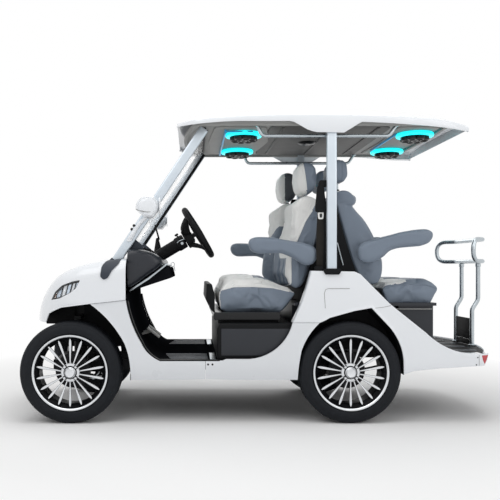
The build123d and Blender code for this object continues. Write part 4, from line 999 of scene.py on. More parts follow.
class CART_OT_pillars(bpy.types.Operator):
    """Builds the rear pillars, their collars and the seat belts."""
    bl_idname = "cart.pillars"
    bl_label = "Rear pillars"

    def execute(self, context):
        section = soft_outline([(-421, 543), (-421, 581), (-363, 581), (-363, 543)], 4, 4)
        pillar = slab("pillar", section, (0.906, CEILING), "tube", 0.001)
        groove = bar("pillar_slot", (-423, -420.5), (556, 568), (930, 1700), "enamel", 0.0006)
        collar = plate("pillar_collar", outline((-342, 916), (-342, 902), (-352, 884), (-432, 884), (-444, 902),
                                                (-444, 916)), (0.576, 0.589), "black", 0.003)
        foot = slab("pillar_foot", soft_outline([(-440, 534), (-440, 588), (-346, 588), (-346, 534)], 5, 3),
                    (0.905, 0.920), "black", 0.005)
        put(on_both_sides("rear_pillar_pair", joined("pillar", [pillar, groove, collar, foot])), CHASSIS,
            "rear_pillars", slot="bright_tube")
        self.belts()
        return {"FINISHED"}

    @staticmethod
    def belts():
        """A belt on each pillar: strap, sleeve, tongue, anchor and reel."""
        strap = plate("belt_strap", outline((-346, 932), (-306, 932), (-304, 1120), (-312, 1262), (-346, 1262),
                                            (-350, 1120)), (0.5425, 0.5445), "webbing", 0.0008)
        sleeve = plate("belt_sleeve", soft_outline([(-364, 1256), (-362, 1300), (-350, 1392), (-345, 1436),
                       (-322, 1438), (-308, 1396), (-298, 1300), (-296, 1256)], 8, 2), (0.5415, 0.556), "black", 0.005)
        tongue = plate("belt_tongue", soft_outline([(-346, 1214), (-350, 1256), (-312, 1256), (-316, 1214)], 5, 2),
                       (0.5415, 0.5475), "insert", 0.0015)
        slot = plate("belt_slot", soft_outline([(-338, 1223), (-340, 1247), (-323, 1247), (-325, 1223)], 4, 2),
                     (0.5472, 0.5482), "enamel", 0.0003)
        anchor = plate("belt_anchor", soft_outline([(-366, 1404), (-366, 1446), (-326, 1446), (-312, 1424),
                       (-326, 1404)], 5, 2), (0.546, 0.553), "black", 0.002)
        reel = plate("belt_reel", soft_outline([(-342, 908), (-342, 934), (-292, 934), (-292, 908)], 6, 2),
                     (0.5425, 0.566), "black", 0.004)
        belt = joined("belt", [strap, sleeve, tongue, slot, anchor, reel])
        put(on_both_sides("seat_belt_pair", belt), CHASSIS, "seat_belts", slot="belt_webbing")


# ------------------------------------------------------------------ seats
FRONT_CUSHION = ((292, 760), (262, 812), (60, 832, -120, 800), (-222, 772), (-128, 662), (280, 662))
FRONT_BACK = ((-116, 812), (-118, 960, -150, 1110), (-192, 1230, -196, 1325), (-240, 1384, -310, 1378),
              (-362, 1330, -362, 1240), (-318, 1030, -236, 806), (-180, 800, -116, 812))
REAR_BACK = ((-442, 1330), (-448, 1410), (-500, 1424, -543, 1400), (-562, 1350, -545, 1306), (-640, 1180, -724, 960),
             (-732, 880, -706, 806), (-606, 800), (-530, 1010, -442, 1330))
REAR_CUSHION = ((-750, 712), (-1030, 712), (-1092, 800), (-1040, 842), (-880, 840, -712, 802))
FRONT_HEAD = ((-354, 1450), (-348, 1560), (-316, 1592), (-284, 1598), (-244, 1590), (-220, 1558), (-212, 1480),
              (-224, 1424), (-254, 1402), (-300, 1402), (-340, 1422))
REAR_HEAD = ((-550, 1500), (-544, 1580), (-520, 1608), (-484, 1614), (-446, 1604), (-424, 1576), (-418, 1500),
             (-450, 1454), (-516, 1454))
FRONT_ARM = ((107, 1073), (98, 1104), (60, 1117), (-61, 1116), (-150, 1102), (-230, 1084), (-300, 1060), (-326, 1030),
             (-322, 975), (-300, 944), (-260, 934), (-220, 946), (-160, 978), (-91, 1001), (0, 1004), (60, 1010),
             (96, 1034))
REAR_ARM = ((-550, 1000), (-552, 1050), (-580, 1082), (-640, 1102), (-720, 1126), (-812, 1150), (-900, 1162),
            (-980, 1168), (-1018, 1150), (-1022, 1118), (-1000, 1080), (-950, 1055), (-902, 1046), (-820, 1034),
            (-752, 1015), (-710, 978), (-650, 952), (-600, 952), (-562, 968))

WELT = (
    # height, X of the seam between a front back's grey side and its white face, upwards
    (785, -171), (989, -171), (1091, -207), (1210, -258), (1275, -298), (1340, -330),
)
SEAT_WELT = (
    # X, height of the seam on a front cushion's side
    (-222, 762), (-160, 779), (-60, 802), (60, 810), (181, 808), (250, 790), (284, 758),
)
PIPING = {
    "front_back": ([(x, z) for z, x in WELT[:-1]], "insert"),
    "front_cushion": (SEAT_WELT[1:-1], "insert"),
    "front_head": (((-282, 1412), (-272, 1490), (-259, 1580)), "insert"),
    "rear_cushion": (((-735, 796), (-800, 814), (-900, 824), (-1000, 820), (-1062, 800)), "vinyl"),
}

PAD_ROWS = (
    # name, outline, low Y, high Y, edge, shift of the right one, body, node
    ("front_cushion", FRONT_CUSHION, 12, 455, 26, 0, CHASSIS, "front_cushions"),
    ("front_back", FRONT_BACK, 12, 455, 26, 50, CHASSIS, "front_backs"),
    ("rear_cushion", REAR_CUSHION, 12, 455, 24, 0, CHASSIS, "rear_cushions"),
    ("rear_back", REAR_BACK, 12, 455, 22, 0, CHASSIS, "rear_backs"),
    ("front_head", FRONT_HEAD, 115, 352, 30, 50, CHASSIS, "headrests"),
    ("rear_head", REAR_HEAD, 115, 352, 30, 0, CHASSIS, None),
    ("front_arm", FRONT_ARM, 467, 535, 18, 50, "arm_front", "armrest_front"),
    ("rear_arm", REAR_ARM, 467, 535, 18, 0, "arm_rear", "armrest_rear"),
)


class CART_OT_seats(bpy.types.Operator):
    """Builds the stuffed seats, headrests and armrests, and the stays that carry the headrests."""
    bl_idname = "cart.seats"
    bl_label = "Seats"

    def execute(self, context):
        sizes = context.scene.cart_sizes
        pads = {}
        for name, points, y0, y1, edge, *_ in PAD_ROWS:
            spacing = sizes.cover_mesh if y1 - y0 > 100 else sizes.cover_mesh * 0.8
            pads[name] = self.cover(name, points, y0 + 4, y1 - 4, edge, spacing)
        self.stuff(list(pads.values()), sizes.cushion_swell)
        for name, points, y0, y1, edge, shift, body, hidden in PAD_ROWS:
            self.dress(name, pads[name], y0, y1)
            right = moved(pads[name], name + "_right", Matrix.Translation((shift * MM, 0, 0)) @ ACROSS)
            if name == "front_cushion":
                co = points_of(right.data)
                co[:, 0] += 0.050 * ramp(co[:, 0], 0.10, -0.25)
                right.data.vertices.foreach_set("co", co.ravel())
            pads[name].name = name + "_left"
            arm = body != CHASSIS
            for piece, side in ((pads[name], "left"), (right, "right")):
                nodes = [] if hidden is None else [f"{hidden}_{side}"] if arm else [hidden]
                put(piece, f"{body}_{side}" if arm else body, *nodes, slot="arm_vinyl" if arm else "seat_vinyl")
        self.stays()
        return {"FINISHED"}

    @staticmethod
    def cover(name, points, y0, y1, edge, spacing):
        """The sewn cover before it is stuffed: a little smaller than the pad, meshed evenly."""
        path = np.array(soft_outline([(x / MM, z / MM) for x, z in outline(*points)], 9, 2))
        middle = path.mean(0)
        away = path - middle
        path = middle + away * (1 - 0.006 / np.maximum(np.hypot(*away.T), 0.02))[:, None]
        made = plate(name, [tuple(p) for p in path], (y0 * MM, y1 * MM), "vinyl", edge * MM, 4)
        modify(made, "REMESH", mode="VOXEL", voxel_size=spacing)
        modify(made, "SMOOTH", factor=0.5, iterations=3)
        settle(made)
        for finish in ("insert", "painted_shade_vinyl"):
            made.data.materials.append(MAT[finish])
        return made

    @staticmethod
    def piping(pad, path, finish):
        """A sewn cord along a path in X and Z, laid on the outer side of a pad."""
        form = BVHTree.FromPolygons([v.co for v in pad.data.vertices], [tuple(p.vertices) for p in pad.data.polygons])
        line = []
        for x, z in dense([(x * MM, z * MM) for x, z in path], 0.008):
            hit = form.ray_cast(Vector((x, 1.0, z)), Vector((0, -1, 0)))[0]
            if hit:
                line.append(hit + Vector((0, 0.0004, 0)))
        return tube("piping", line, 4.0, finish, 3)

    @staticmethod
    def stuff(pads, most):
        """Swells the covers by cloth simulation and caps how far they move."""
        rest = {pad.name: points_of(pad.data) for pad in pads}
        for pad in pads:
            cloth = pad.modifiers.new("stuffing", "CLOTH")
            cloth.settings.quality = 4
            cloth.settings.mass = 0.3
            cloth.settings.tension_stiffness = cloth.settings.compression_stiffness = 12
            cloth.settings.use_pressure = True
            cloth.settings.uniform_pressure_force = 4.0
            cloth.settings.effector_weights.gravity = 0.0
            cloth.collision_settings.use_collision = False
            cloth.point_cache.frame_start, cloth.point_cache.frame_end = 1, 20
        for number in range(1, 21):
            bpy.context.scene.frame_set(number)
        graph = bpy.context.evaluated_depsgraph_get()
        for pad in pads:
            swollen = points_of(pad.evaluated_get(graph).data)
            move = swollen - rest[pad.name]
            length = np.linalg.norm(move, axis=1, keepdims=True)
            cap = most * (0.4 if "arm" in pad.name else 1.0)
            move *= np.minimum(1.0, cap / np.maximum(length, 1e-9))
            pad.modifiers.clear()
            pad.data.vertices.foreach_set("co", (rest[pad.name] + move).ravel())
            pad.data.update()
        bpy.context.scene.frame_set(1)

    @staticmethod
    def dress(name, pad, y0, y1):
        """Divides the cover once more, then sews its channels and picks the vinyl of each panel."""
        modify(pad, "SUBSURF", levels=1)
        settle(pad)
        mesh = pad.data
        co = points_of(mesh)
        x, y, z = co.T      # views: a change to one moves the points
        normals = np.zeros(len(mesh.vertices) * 3)
        mesh.vertex_normals.foreach_get("vector", normals)
        normals = normals.reshape(-1, 3)
        across_pad = (y / MM - (y0 + y1) / 2) / ((y1 - y0) / 2)
        depth = np.zeros(len(co))
        drop, under = {"front_back": (0.026, 0.85), "front_head": (0.020, 1.45), "rear_cushion": (0.012, 0.76)}.get(
            name, (0.0, 1.0))
        z -= drop * ramp(z, under, -0.04)
        if name == "front_back":
            facing = ramp(normals[:, 0], 0.35, 0.3)
            side = ramp(normals[:, 1], 0.6, 0.3)
            edge = np.interp(z / MM, *zip(*WELT)) * MM
            outward = ramp(across_pad, -0.5, 1.4) * ramp(z, 1.19, -0.12)
            x -= 0.046 * outward * ramp(x - edge, -0.05, 0.08)
            rows = np.abs(np.sin(across_pad * pi * 9))
            upper = ramp(z, 1.0, 0.04) * (across_pad > -0.6) * (across_pad < 0.9)
            lower = ramp(z, 0.99, -0.04) * (np.abs(across_pad) < 0.56)
            depth += facing * upper * (1 - rows) ** 2 * 0.0035
            inside = ramp(x - edge, 0, 0.006) * ramp(z, 1.0, 0.04)
            depth += side * inside * (1 - np.abs(np.sin((x - edge) * pi / 0.017))) ** 2 * 0.0035
            depth += facing * lower * ridge((across_pad * 2.7) % 1, 0.5, 0.12) * 0.012
            hollow = np.clip(1 - ((across_pad - 0.1) / 0.62) ** 2, 0, 1) * ramp(z, 0.84, 0.1)
            depth += facing * hollow * ramp(z, 1.34, -0.1) * 0.022
            for line in (-0.66, 0.62):
                depth += facing * (z < 1.32) * ridge(across_pad, line, 0.03) * 0.007
        elif name in ("rear_back", "rear_cushion"):
            facing = ramp(np.abs(normals[:, 0] * 0.9 - normals[:, 2] * 0.3), 0.35, 0.3)
            if name == "rear_cushion":
                facing = ramp(normals[:, 2], 0.4, 0.3)
            for line in (-0.6, -0.2, 0.2, 0.6):
                depth += facing * ridge(across_pad, line, 0.03) * 0.006
            if name == "rear_back":
                fold = ridge(z, 1.306, 0.007) * ramp(x, -0.50, -0.02)
                depth += fold * 0.008
        elif name == "front_cushion":
            facing = ramp(normals[:, 2], 0.5, 0.3)
            for line in (-0.62, -0.3, 0.0, 0.3, 0.62):
                depth += facing * ridge(across_pad, line, 0.028) * 0.006
            wrinkle = np.sin(x * 150 + 5 * np.sin(y * 23))
            wrinkle *= np.sin(y * 41 + 3 * np.sin(x * 17))
            depth += facing * wrinkle * 0.0012
            crown = np.clip(1 - np.abs(across_pad) ** 2.5, 0, 1) * ramp(x, -0.11, 0.12)
            depth -= facing * crown * ramp(x, 0.27, -0.06) * 0.034
        elif name in ("front_arm", "rear_arm"):
            depth += ridge(np.abs(across_pad), 0.72, 0.10) * 0.0016
        elif name in ("front_head", "rear_head"):
            depth += ridge(x, -0.258 if name == "front_head" else -0.50, 0.004) * 0.003
        co -= normals * depth[:, None]
        mesh.vertices.foreach_set("co", co.ravel())
        mesh.update()
        CART_OT_seats.panels(name, mesh, y0, y1)
        if name in PIPING:
            path, finish = PIPING[name]
            joined(pad.name, [pad, CART_OT_seats.piping(pad, path, finish)])

    @staticmethod
    def panels(name, mesh, y0, y1):
        """Chooses grey sides, white inserts and, on a headrest's inner side, charcoal as painted shade, face by face.
        """
        count = len(mesh.polygons)
        centre, normal = np.zeros(count * 3), np.zeros(count * 3)
        mesh.polygons.foreach_get("center", centre)
        mesh.polygons.foreach_get("normal", normal)
        centre, normal = centre.reshape(-1, 3) / MM, normal.reshape(-1, 3)
        x, y, z = centre.T
        share = np.abs((y - (y0 + y1) / 2) / ((y1 - y0) / 2))
        index = np.zeros(count, int)
        if name == "front_back":
            index[x > np.interp(z, *zip(*WELT))] = 1
            index[(z < 985) & (share < 0.56) & (normal[:, 0] > 0.3)] = 0
            index[(y > 32) & (y < np.interp(z, (985, 1210), (190, 32)))] = 0
            index[(y <= 32) & ((z < 1010) | (x < np.interp(z, *zip(*WELT)) + 32))] = 0
        elif name == "front_cushion":
            index[z > np.interp(x, *zip(*SEAT_WELT))] = 1
            index[(x > 262) & (normal[:, 0] > 0.45)] = 1
            index[(share < 0.62) & (normal[:, 2] > 0.3) & (x < 60)] = 0
        elif name == "rear_cushion":
            index[(normal[:, 2] > 0.4) & (share < 0.86) & (x > -880)] = 1
        elif name == "front_head":
            index[x > np.interp(z, (1400, 1600), (-283, -256))] = 1
            # Painted shade: the inner side of the headrest's rear part turns charcoal for the shade between the seats.
            index[(normal[:, 1] < -0.6) & (x < -262)] = 2
        mesh.polygons.foreach_set("material_index", index)
        mesh.polygons.foreach_set("use_smooth", [True] * count)

    @staticmethod
    def stays():
        """Two bright stays with collars under each headrest."""
        stays = []
        for x, foot, top, shift in ((-288, 1362, 1430, 50), (-488, 1402, 1490, 0)):
            for y in (178, 288):
                for side in (1, -1):
                    sx = x + (shift if side < 0 else 0)
                    stays.append(tube("stay", [(sx * MM, y * side * MM, foot * MM), (sx * MM, y * side * MM, top * MM)],
                                      6, "stainless", 3))
                    stays.append(turned("stay_collar", [(6, 0), (12, 0), (12, 6), (8, 10), (6, 10)],
                                        (sx * MM, y * side * MM, (foot + 10) * MM), (0, 0, 1), "enamel", 20))
        put(joined("headrest_stays", stays), CHASSIS, slot="bright_tube")


def points_of(mesh):
    """A mesh's points as an array."""
    co = np.zeros(len(mesh.vertices) * 3)
    mesh.vertices.foreach_get("co", co)
    return co.reshape(-1, 3)


class CART_OT_seat_frame(bpy.types.Operator):
    """Builds the boxes under the seats, the divider between them and the armrest pins."""
    bl_idname = "cart.seat_frame"
    bl_label = "Seat boxes"

    def execute(self, context):
        side = outline((286, 374), (286, 560), (270, 592), (-178, 592), (-178, 374))
        base = plate("base_box", side, (-0.543, 0.543), "black", 0.010)
        band = plate("base_band", outline((300, 606), (310, 630), (300, 656), (-98, 656), (-98, 606)), (-0.5, 0.5),
                     "enamel", 0.006)
        neck = bar("base_neck", (-88, 278), (-470, 470), (588, 608), "black", 0.002)
        panel = plate("base_inset", outline((262, 400), (262, 560), (-150, 560), (-150, 400)), (0.540, 0.5445),
                      "slate", 0.002)
        kick = plate("kick_panel", soft_outline([(346, 826), (316, 826), (298, 760), (298, 650), (320, 664),
                     (352, 726)], 6, 1), (-0.455, 0.455), "black", 0.005)
        far = moved(panel, "base_inset_r", ACROSS)
        put(joined("seat_base_moulding", [base, band, neck, kick, panel, far]), CHASSIS, "seat_base",
            slot="black_moulding")
        strip = bar("box_strip", (-1020, -780), (480, 483), (672, 677), "liner", 0.001)
        stay = tube("divider_stay", [(-0.451, 0.446, 1.078), (-0.488, 0.446, 0.940)], 4, "stainless", 3)
        put(on_both_sides("box_strips", strip), CHASSIS, slot="bright_tube")
        put(on_both_sides("divider_stays", stay), CHASSIS, slot="bright_tube")
        refinish("slate", "rear_seat_box")
        refinish("black", "seat_divider", "wheel_liners")
        refinish("stainless", "armrest_pins")
        return {"FINISHED"}


# ------------------------------------------------------------------ cockpit
class CART_OT_cockpit(bpy.types.Operator):
    """Builds the dash, steering, pedals and foot well."""
    bl_idname = "cart.cockpit"
    bl_label = "Cockpit"

    def execute(self, context):
        self.dash()
        self.steering()
        self.floor()
        return {"FINISHED"}

    @staticmethod
    def dash():
        """A rolled dash, a bright strip below it, and a dark shelf under the strip."""
        side = soft_outline([(826, 1036), (790, 1040), (749, 1038), (700, 1026), (656, 1008), (622, 982), (612, 957),
                             (640, 926), (700, 884), (770, 832), (826, 798)], 9, 2)
        rings = []
        for y, scale in ((-526, 0.42), (-524, 0.62), (-518, 0.78), (-505, 0.90), (-484, 0.97), (-452, 1.0), (0, 1.0),
                         (452, 1.0), (484, 0.97), (505, 0.90), (518, 0.78), (524, 0.62), (526, 0.42)):
            rings.append([(0.826 + (x - 0.826) * scale, y * MM, 0.912 + (z - 0.912) * (0.35 + 0.65 * scale))
                          for x, z in side])
        upper = sharpened(skin_piece("dash_roll", rings, "slate", closed=True, caps=True), 50)
        hood = plate("dash_hood", soft_outline([(790, 1034), (752, 1052), (700, 1042), (655, 1012), (700, 1010)], 8, 1),
                     (0.10, 0.37), "black", 0.006)
        gussets = [plate("strut_gusset", soft_outline([(798, 1110), (830, 1050), (812, 1034), (736, 1034), (738, 1060)],
                         6, 1), y, "boot", 0.003) for y in ((0.418, 0.436), (-0.436, -0.418))]
        cone = turned("dash_sensor", [(0, 0), (32, 0), (31, 6), (11, 104), (8, 114), (0, 116)], (0.667, 0.0, 1.012),
                      (0.05, 0, 1), "black", 32)
        stem = tube("sensor_stem", [(0.660, 0.0, 1.115), (0.688, 0.0, 1.215)], 6, "black", 3)
        put(joined("dash_moulding", [upper, hood, *gussets, cone, stem]), CHASSIS, "dash", slot="dark_dash")
        strip = plate("dash_strip", outline((818, 777), (700, 852), (586, 943), (592, 952), (706, 866), (826, 788)),
                      (-0.449, 0.449), "stainless", 0.003)
        shelf = plate("dash_shelf", outline((826, 776), (700, 850), (590, 934), (576, 926), (561, 864), (694, 820)),
                      (-0.446, 0.446), "mat", 0.006)
        door = plate("shelf_door", outline((586, 922), (573, 868), (580, 866), (594, 918)), (-0.38, 0.38), "black",
                     0.002)
        put(joined("dash_lower_moulding", [strip, shelf, door]), CHASSIS, "dash_lower", slot="black_moulding")

    @staticmethod
    def steering():
        """A thick soft rim on three spokes, its boss, and the shrouded column with its stalk."""
        rake = radians(31)
        ax = Vector((cos(rake), 0, -sin(rake)))
        up = Vector((sin(rake), 0, cos(rake)))
        left = Vector((0, 1, 0))
        centre = Vector((0.399, 0.240, 1.150))
        rim = []
        for n in range(96):
            a = 2 * pi * n / 96
            out = left * cos(a) + up * sin(a)
            swell = 19.5 + 1.4 * max(0.0, cos(2 * a)) ** 4
            rim.append([centre + (out * (165 + swell * cos(b)) + ax * swell * sin(b)) * MM
                        for b in np.linspace(0, 2 * pi, 16, endpoint=False)])
        rim.append(rim[0])
        pieces = [skin_piece("hand_rim", rim, "black", closed=True)]
        boss = [(0, 37), (26, 37), (38, 42), (50, 58), (60, 78), (62, 90), (57, 95), (18, 95), (18, 60), (0, 60)]
        pieces.append(turned("boss", boss, centre, ax, "black", 40))
        # each spoke's rows: distance from the axis, depth along it, half width, half thickness
        high = ((34, 66, 28, 28), (74, 63, 28, 30), (102, 54, 25, 29), (132, 34, 21, 21), (158, 10, 19, 11))
        low = ((34, 78, 34, 18), (56, 64, 34, 28), (85, 31, 32, 16), (116, 10, 28, 10), (158, 3, 28, 10))
        for a, table in ((radians(48), high), (radians(132), high), (-pi / 2, low)):
            out = left * cos(a) + up * sin(a)
            lean = out.cross(ax)
            rows = []
            for r, y, w, t in table:
                at = centre + (out * r + ax * y) * MM
                rows.append([at + (lean * w * c + ax * t * s) * MM for c, s in
                             ((-1, -0.4), (-0.8, -1), (0.8, -1), (1, -0.4), (1, 0.4), (0.8, 1), (-0.8, 1), (-1, 0.4))])
            spoke = skin_piece("hand_spoke", rows, "black", closed=True, caps=True)
            modify(spoke, "SUBSURF", levels=1)
            pieces.append(sharpened(settle(spoke), 60))
        put(joined("hand_wheel", pieces), "hand_wheel", "steering_wheel", slot="black_moulding")
        shroud = [(0, 98), (40, 98), (45, 104), (46, 150), (43, 156), (40, 162), (40, 292), (0, 292)]
        column = [turned("column_shroud", shroud, centre, ax, "black", 44),
                  turned("column_shaft", [(0, 14), (14.5, 14), (14.5, 99), (0, 99)], centre, ax, "coated", 24)]
        start = centre + ax * 0.126 + up * 0.036
        tip = start + up * 0.016
        column.append(tube("knob_stem", [start, tip], 5, "black", 3))
        column.append(turned("horn_knob", [(0, 0), (11, 1), (13, 7), (11, 13), (0, 14)], tip, up, "black", 20))
        bezel = eased([(532, 283, 1082), (520, 286, 1094), (488, 286, 1108), (474, 284, 1104)], 8)
        column.append(tube("switch_bezel", bezel, 2.6, "stainless", 3))
        column.append(turned("ignition_lock", [(0, 0), (9, 0), (9, 4), (6, 5), (0, 5)], (0.500, 0.283, 1.080),
                             (0, 1, 0), "stainless", 24))
        ring = [(0.560 + 0.011 * cos(t), 0.262, 0.946 + 0.014 * sin(t))
                for t in np.linspace(0, 2 * pi, 20, endpoint=False)]
        column.append(tube("key_ring", ring, 1.8, "stainless", 2, cyclic=True))
        column.append(tube("key_drop", [(0.552, 0.262, 0.934), (0.545, 0.262, 0.905)], 2.2, "stainless", 2))
        put(joined("column_covers", column), CHASSIS, "steering_column", slot="black_moulding")
        refinish("liner", "pedals")

    @staticmethod
    def floor():
        """The foot well's dark moulding with pale tread strips and a scuff plate."""
        inner = outline((829, 768), (809, 640, 738, 478), (690, 412, 626, 374), (-128, 374), (-128, 363), (630, 363),
                        (699, 402, 748, 471), (820, 636, 840, 768))
        pieces = [plate("foot_well", inner, (-0.558, 0.558), "mat", 0.002)]
        for side in (1, -1):
            trim = outline((826, 728), (806, 640, 735, 478), (688, 410, 626, 371), (272, 371), (272, 379), (628, 379),
                           (682, 416, 727, 482), (796, 642, 816, 728))
            pieces.append(plate("door_trim", trim, sorted((0.536 * side, 0.5795 * side)), "black", 0.003))
            for n in range(5):
                y = (520 - 58 * n) * side
                pieces.append(bar("tread_strip", (342, 566 + 9 * n), (y - 7, y + 7), (374, 378), "rib", 0.0015))
            pieces.append(bar("scuff_plate", (294, 328), sorted((250 * side, 545 * side)), (373, 380), "stainless",
                              0.002))
        put(joined("foot_well_moulding", pieces), CHASSIS, "floor_tub", slot="black_moulding")


# ------------------------------------------------------------------ tail
class CART_OT_tail(bpy.types.Operator):
    """Builds the rear step, tail panel, lamps and safety rail."""
    bl_idname = "cart.tail"
    bl_label = "Tail"

    def execute(self, context):
        plan = outline((-1040, -500), (-1040, 500), (-1330, 500), (-1438, 0, -1330, -500), count=24)
        deck = slab("step_plate", plan, (0.397, 0.410), "black", 0.002)
        strips = [bar("step_strip", (-1352 + abs(y) * 0.06, -1062), (y - 13, y + 13), (410, 414), "rib", 0.0015)
                  for y in (-380, -170, 0, 170, 380)]
        put(joined("rear_step", [deck, *strips]), CHASSIS, "rear_deck", slot="black_moulding")
        bow = arc((-1326, 499), (-1444, 0), (-1326, -499), 40)
        rings = []
        for x, y in [(-1326, 499), *bow]:
            rings.append([(x * MM, y * MM, 0.346), ((x - 3) * MM, y * MM, 0.352), ((x - 4) * MM, y * MM, 0.380),
                          ((x - 3) * MM, y * MM, 0.414), ((x + 3) * MM, y * MM, 0.420), ((x + 8) * MM, y * MM, 0.414),
                          ((x + 8) * MM, y * MM, 0.348)])
        tail = sharpened(skin_piece("tail_skin", rings, "white", closed=True, caps=True), 50)
        put(tail, CHASSIS, "tail_panel", slot="white_body")
        self.lamps()
        self.rail()
        return {"FINISHED"}

    @staticmethod
    def lamps():
        """A red lamp at each end of the tail, following its bow."""
        lamp_rings = []
        for y in np.linspace(402, 496, 12):
            x = -1444 + 118 * (y / 499) ** 2 - 3
            lamp_rings.append([(x * MM, y * MM, 0.358), ((x - 6) * MM, y * MM, 0.362), ((x - 7.5) * MM, y * MM, 0.378),
                               ((x - 6) * MM, y * MM, 0.396), (x * MM, y * MM, 0.400)])
        lamp = sharpened(skin_piece("tail_lens", lamp_rings, "red", closed=True, caps=True), 60)
        put(on_both_sides("tail_lenses", lamp), CHASSIS, "tail_lamps", slot="lamp_red")

    @staticmethod
    def rail():
        """A bent safety rail on two posts, with feet and a plate between them."""
        top, low = 1108, 967
        loop = eased([(-1448, 0, top), (-1448, 215, top), (-1341, 312, top), (-1341, 312, low), (-1448, 215, low),
                      (-1448, 0, low)], 74, 12)
        half = tube("rail_loop", loop, 14, "stainless", 5)
        run = eased([(-1448, 133, low), (-1448, 133, 715), (-1408, 133, 650), (-1408, 133, 414)], 60)
        post = tube("rail_post", run, 14, "stainless", 5)
        foot = turned("rail_foot", [(0, 0), (24, 0), (24, 5), (18, 9), (14, 9), (0, 9)], (-1.408, 0.133, 0.414),
                      (0, 0, 1), "stainless", 32)
        clamp = turned("rail_clamp", [(14, 0), (17, 2), (17, 22), (14, 24)], (-1.448, 0.133, 0.930), (0, 0, 1),
                       "stainless", 28)
        put(on_both_sides("safety_rail", joined("rail_half", [half, post, foot, clamp])), CHASSIS, "rear_rail",
            slot="bright_tube")
        panel = bar("rail_plate", (-1412, -1404), (-119, 119), (450, 590), "black", 0.003)
        put(panel, CHASSIS, "rail_panel", slot="black_moulding")
        put(bar("rail_skirt", (-1411, -1405), (-117, 117), (415, 449), "black", 0.002), CHASSIS, slot="black_moulding")


class CART_OT_running_gear(bpy.types.Operator):
    """Finishes the frame, axles, springs, knuckles and rack."""
    bl_idname = "cart.running_gear"
    bl_label = "Running gear"

    def execute(self, context):
        refinish("coated", "chassis_frame", "front_axle_beam", "rear_axle", "springs", "knuckle_left",
                 "knuckle_right")
        refinish("stainless", "rack_bar")
        refinish("black", "battery_pack")
        return {"FINISHED"}


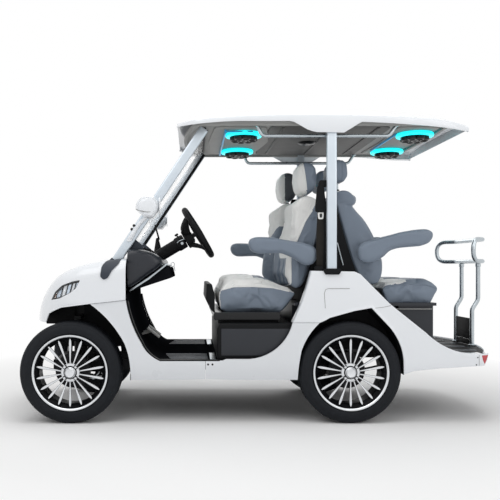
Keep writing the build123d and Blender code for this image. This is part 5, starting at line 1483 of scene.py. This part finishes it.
# ------------------------------------------------------------------ stage
class CART_OT_stage(bpy.types.Operator):
    """Sets the pale floor, the soft lamps and the camera."""
    bl_idname = "cart.stage"
    bl_label = "Stage"

    def execute(self, context):
        scene = context.scene
        scene.view_settings.view_transform = "Standard"
        self.floor()
        self.world(scene)
        for name, at, aim, size, power in (
            # name, place, aim, width in metres, watts
            ("key_lamp", (2.6, 3.2, 4.6), (0.0, 0.0, 0.6), 3.4, 62),
            ("fill_lamp", (-3.4, 3.6, 3.0), (-0.3, 0.0, 0.8), 3.0, 36),
            ("top_lamp", (0.0, 0.3, 5.2), (0.0, 0.0, 0.0), 4.0, 100),
            ("back_lamp", (-0.6, -4.2, 3.4), (0.0, 0.0, 0.9), 3.0, 34),
        ):
            lamp = bpy.data.lights.new(name, "AREA")
            lamp.size, lamp.energy = size, power
            holder = linked(name, lamp)
            holder.location = at
            holder.rotation_euler = (Vector(aim) - Vector(at)).to_track_quat("-Z", "Y").to_euler()
        camera = bpy.data.cameras.new("camera")
        camera.lens, camera.sensor_width = CAMERA_LENS, 36
        camera.shift_x, camera.shift_y = CAMERA_SHIFT
        holder = linked("camera", camera)
        holder.location = CAMERA_AT
        holder.rotation_euler = (radians(90), 0, radians(180))
        scene.camera = holder
        return {"FINISHED"}

    @staticmethod
    def floor():
        """A wide pale floor, painted in the middle and plain white far away."""
        floor = mesh_piece("floor", [(-30, -30, 0), (30, -30, 0), (30, 30, 0), (-30, 30, 0)], [(0, 1, 2, 3)])
        material = bpy.data.materials.new("painted_studio_floor")
        material.use_nodes = True
        tree = material.node_tree
        tree.nodes.clear()
        at = node(tree, "ShaderNodeTexCoord").outputs["Object"]
        mottle = node(tree, "ShaderNodeTexNoise", Vector=at, Scale=1 / 1.2)
        tone = node(tree, "ShaderNodeMix", {"data_type": "RGBA"}, n0=mottle.outputs["Fac"], n6=linear("#fbfbfb"),
                    n7=linear("#ffffff"))
        paint = node(tree, "ShaderNodeBsdfDiffuse", Color=tone.outputs[2])
        plain = node(tree, "ShaderNodeEmission", Strength=1.0)
        reach = node(tree, "ShaderNodeVectorMath", {"operation": "LENGTH"}, n0=at)
        fade = node(tree, "ShaderNodeMapRange", Value=reach.outputs["Value"], From_Min=1.9, From_Max=3.4)
        blend = node(tree, "ShaderNodeMixShader", n0=fade.outputs[0], n1=paint.outputs[0], n2=plain.outputs[0])
        node(tree, "ShaderNodeOutputMaterial", Surface=blend.outputs[0])
        floor.data.materials.append(material)

    @staticmethod
    def world(scene):
        """White where the camera, gloss and glass look; an even grey light for everything else."""
        world = bpy.data.worlds.new("white_room")
        scene.world = world
        world.use_nodes = True
        tree = world.node_tree
        tree.nodes.clear()
        path = node(tree, "ShaderNodeLightPath")
        seen = node(tree, "ShaderNodeMath", {"operation": "MAXIMUM"}, n0=path.outputs["Is Camera Ray"],
                    n1=path.outputs["Is Transmission Ray"])
        seen = node(tree, "ShaderNodeMath", {"operation": "MAXIMUM"}, n0=seen.outputs[0],
                    n1=path.outputs["Is Glossy Ray"])
        level = node(tree, "ShaderNodeMapRange", Value=seen.outputs[0], To_Min=0.44, To_Max=1.0)
        light = node(tree, "ShaderNodeBackground", Color=(1, 1, 1, 1), Strength=level.outputs[0])
        node(tree, "ShaderNodeOutputWorld", Surface=light.outputs[0])


OPERATORS = (CART_OT_stage, CART_OT_wheels, CART_OT_running_gear, CART_OT_cowl, CART_OT_sides, CART_OT_roof,
             CART_OT_pods, CART_OT_screen, CART_OT_pillars, CART_OT_seat_frame, CART_OT_cockpit, CART_OT_tail,
             CART_OT_seats)


class CART_PT_panel(bpy.types.Panel):
    """Lists the cart's pieces, sizes and colours."""
    bl_idname = "CART_PT_panel"
    bl_label = "Cart"
    bl_space_type = "VIEW_3D"
    bl_region_type = "UI"
    bl_category = "Cart"

    def draw(self, context):
        column = self.layout.column()
        for group in (context.scene.cart_sizes, context.scene.cart_colours):
            for name in group.__annotations__:
                column.prop(group, name)
        for operator in OPERATORS:
            column.operator(operator.bl_idname)


CLASSES = (CartSizes, CartColours, *OPERATORS, CART_PT_panel)


def register():
    """Registers the classes and hangs the settings on the scene."""
    for kind in CLASSES:
        bpy.utils.register_class(kind)
    bpy.types.Scene.cart_sizes = PointerProperty(type=CartSizes)
    bpy.types.Scene.cart_colours = PointerProperty(type=CartColours)


def unregister():
    """Takes the settings and classes away again."""
    del bpy.types.Scene.cart_sizes, bpy.types.Scene.cart_colours
    for kind in reversed(CLASSES):
        bpy.utils.unregister_class(kind)


def main():
    register()
    MAT.update(make_finishes(bpy.context.scene.cart_colours))
    for operator in OPERATORS:
        group, name = operator.bl_idname.split(".")
        getattr(getattr(bpy.ops, group), name)()
    bpy.context.view_layer.update()


if __name__ == "__main__":
    main()
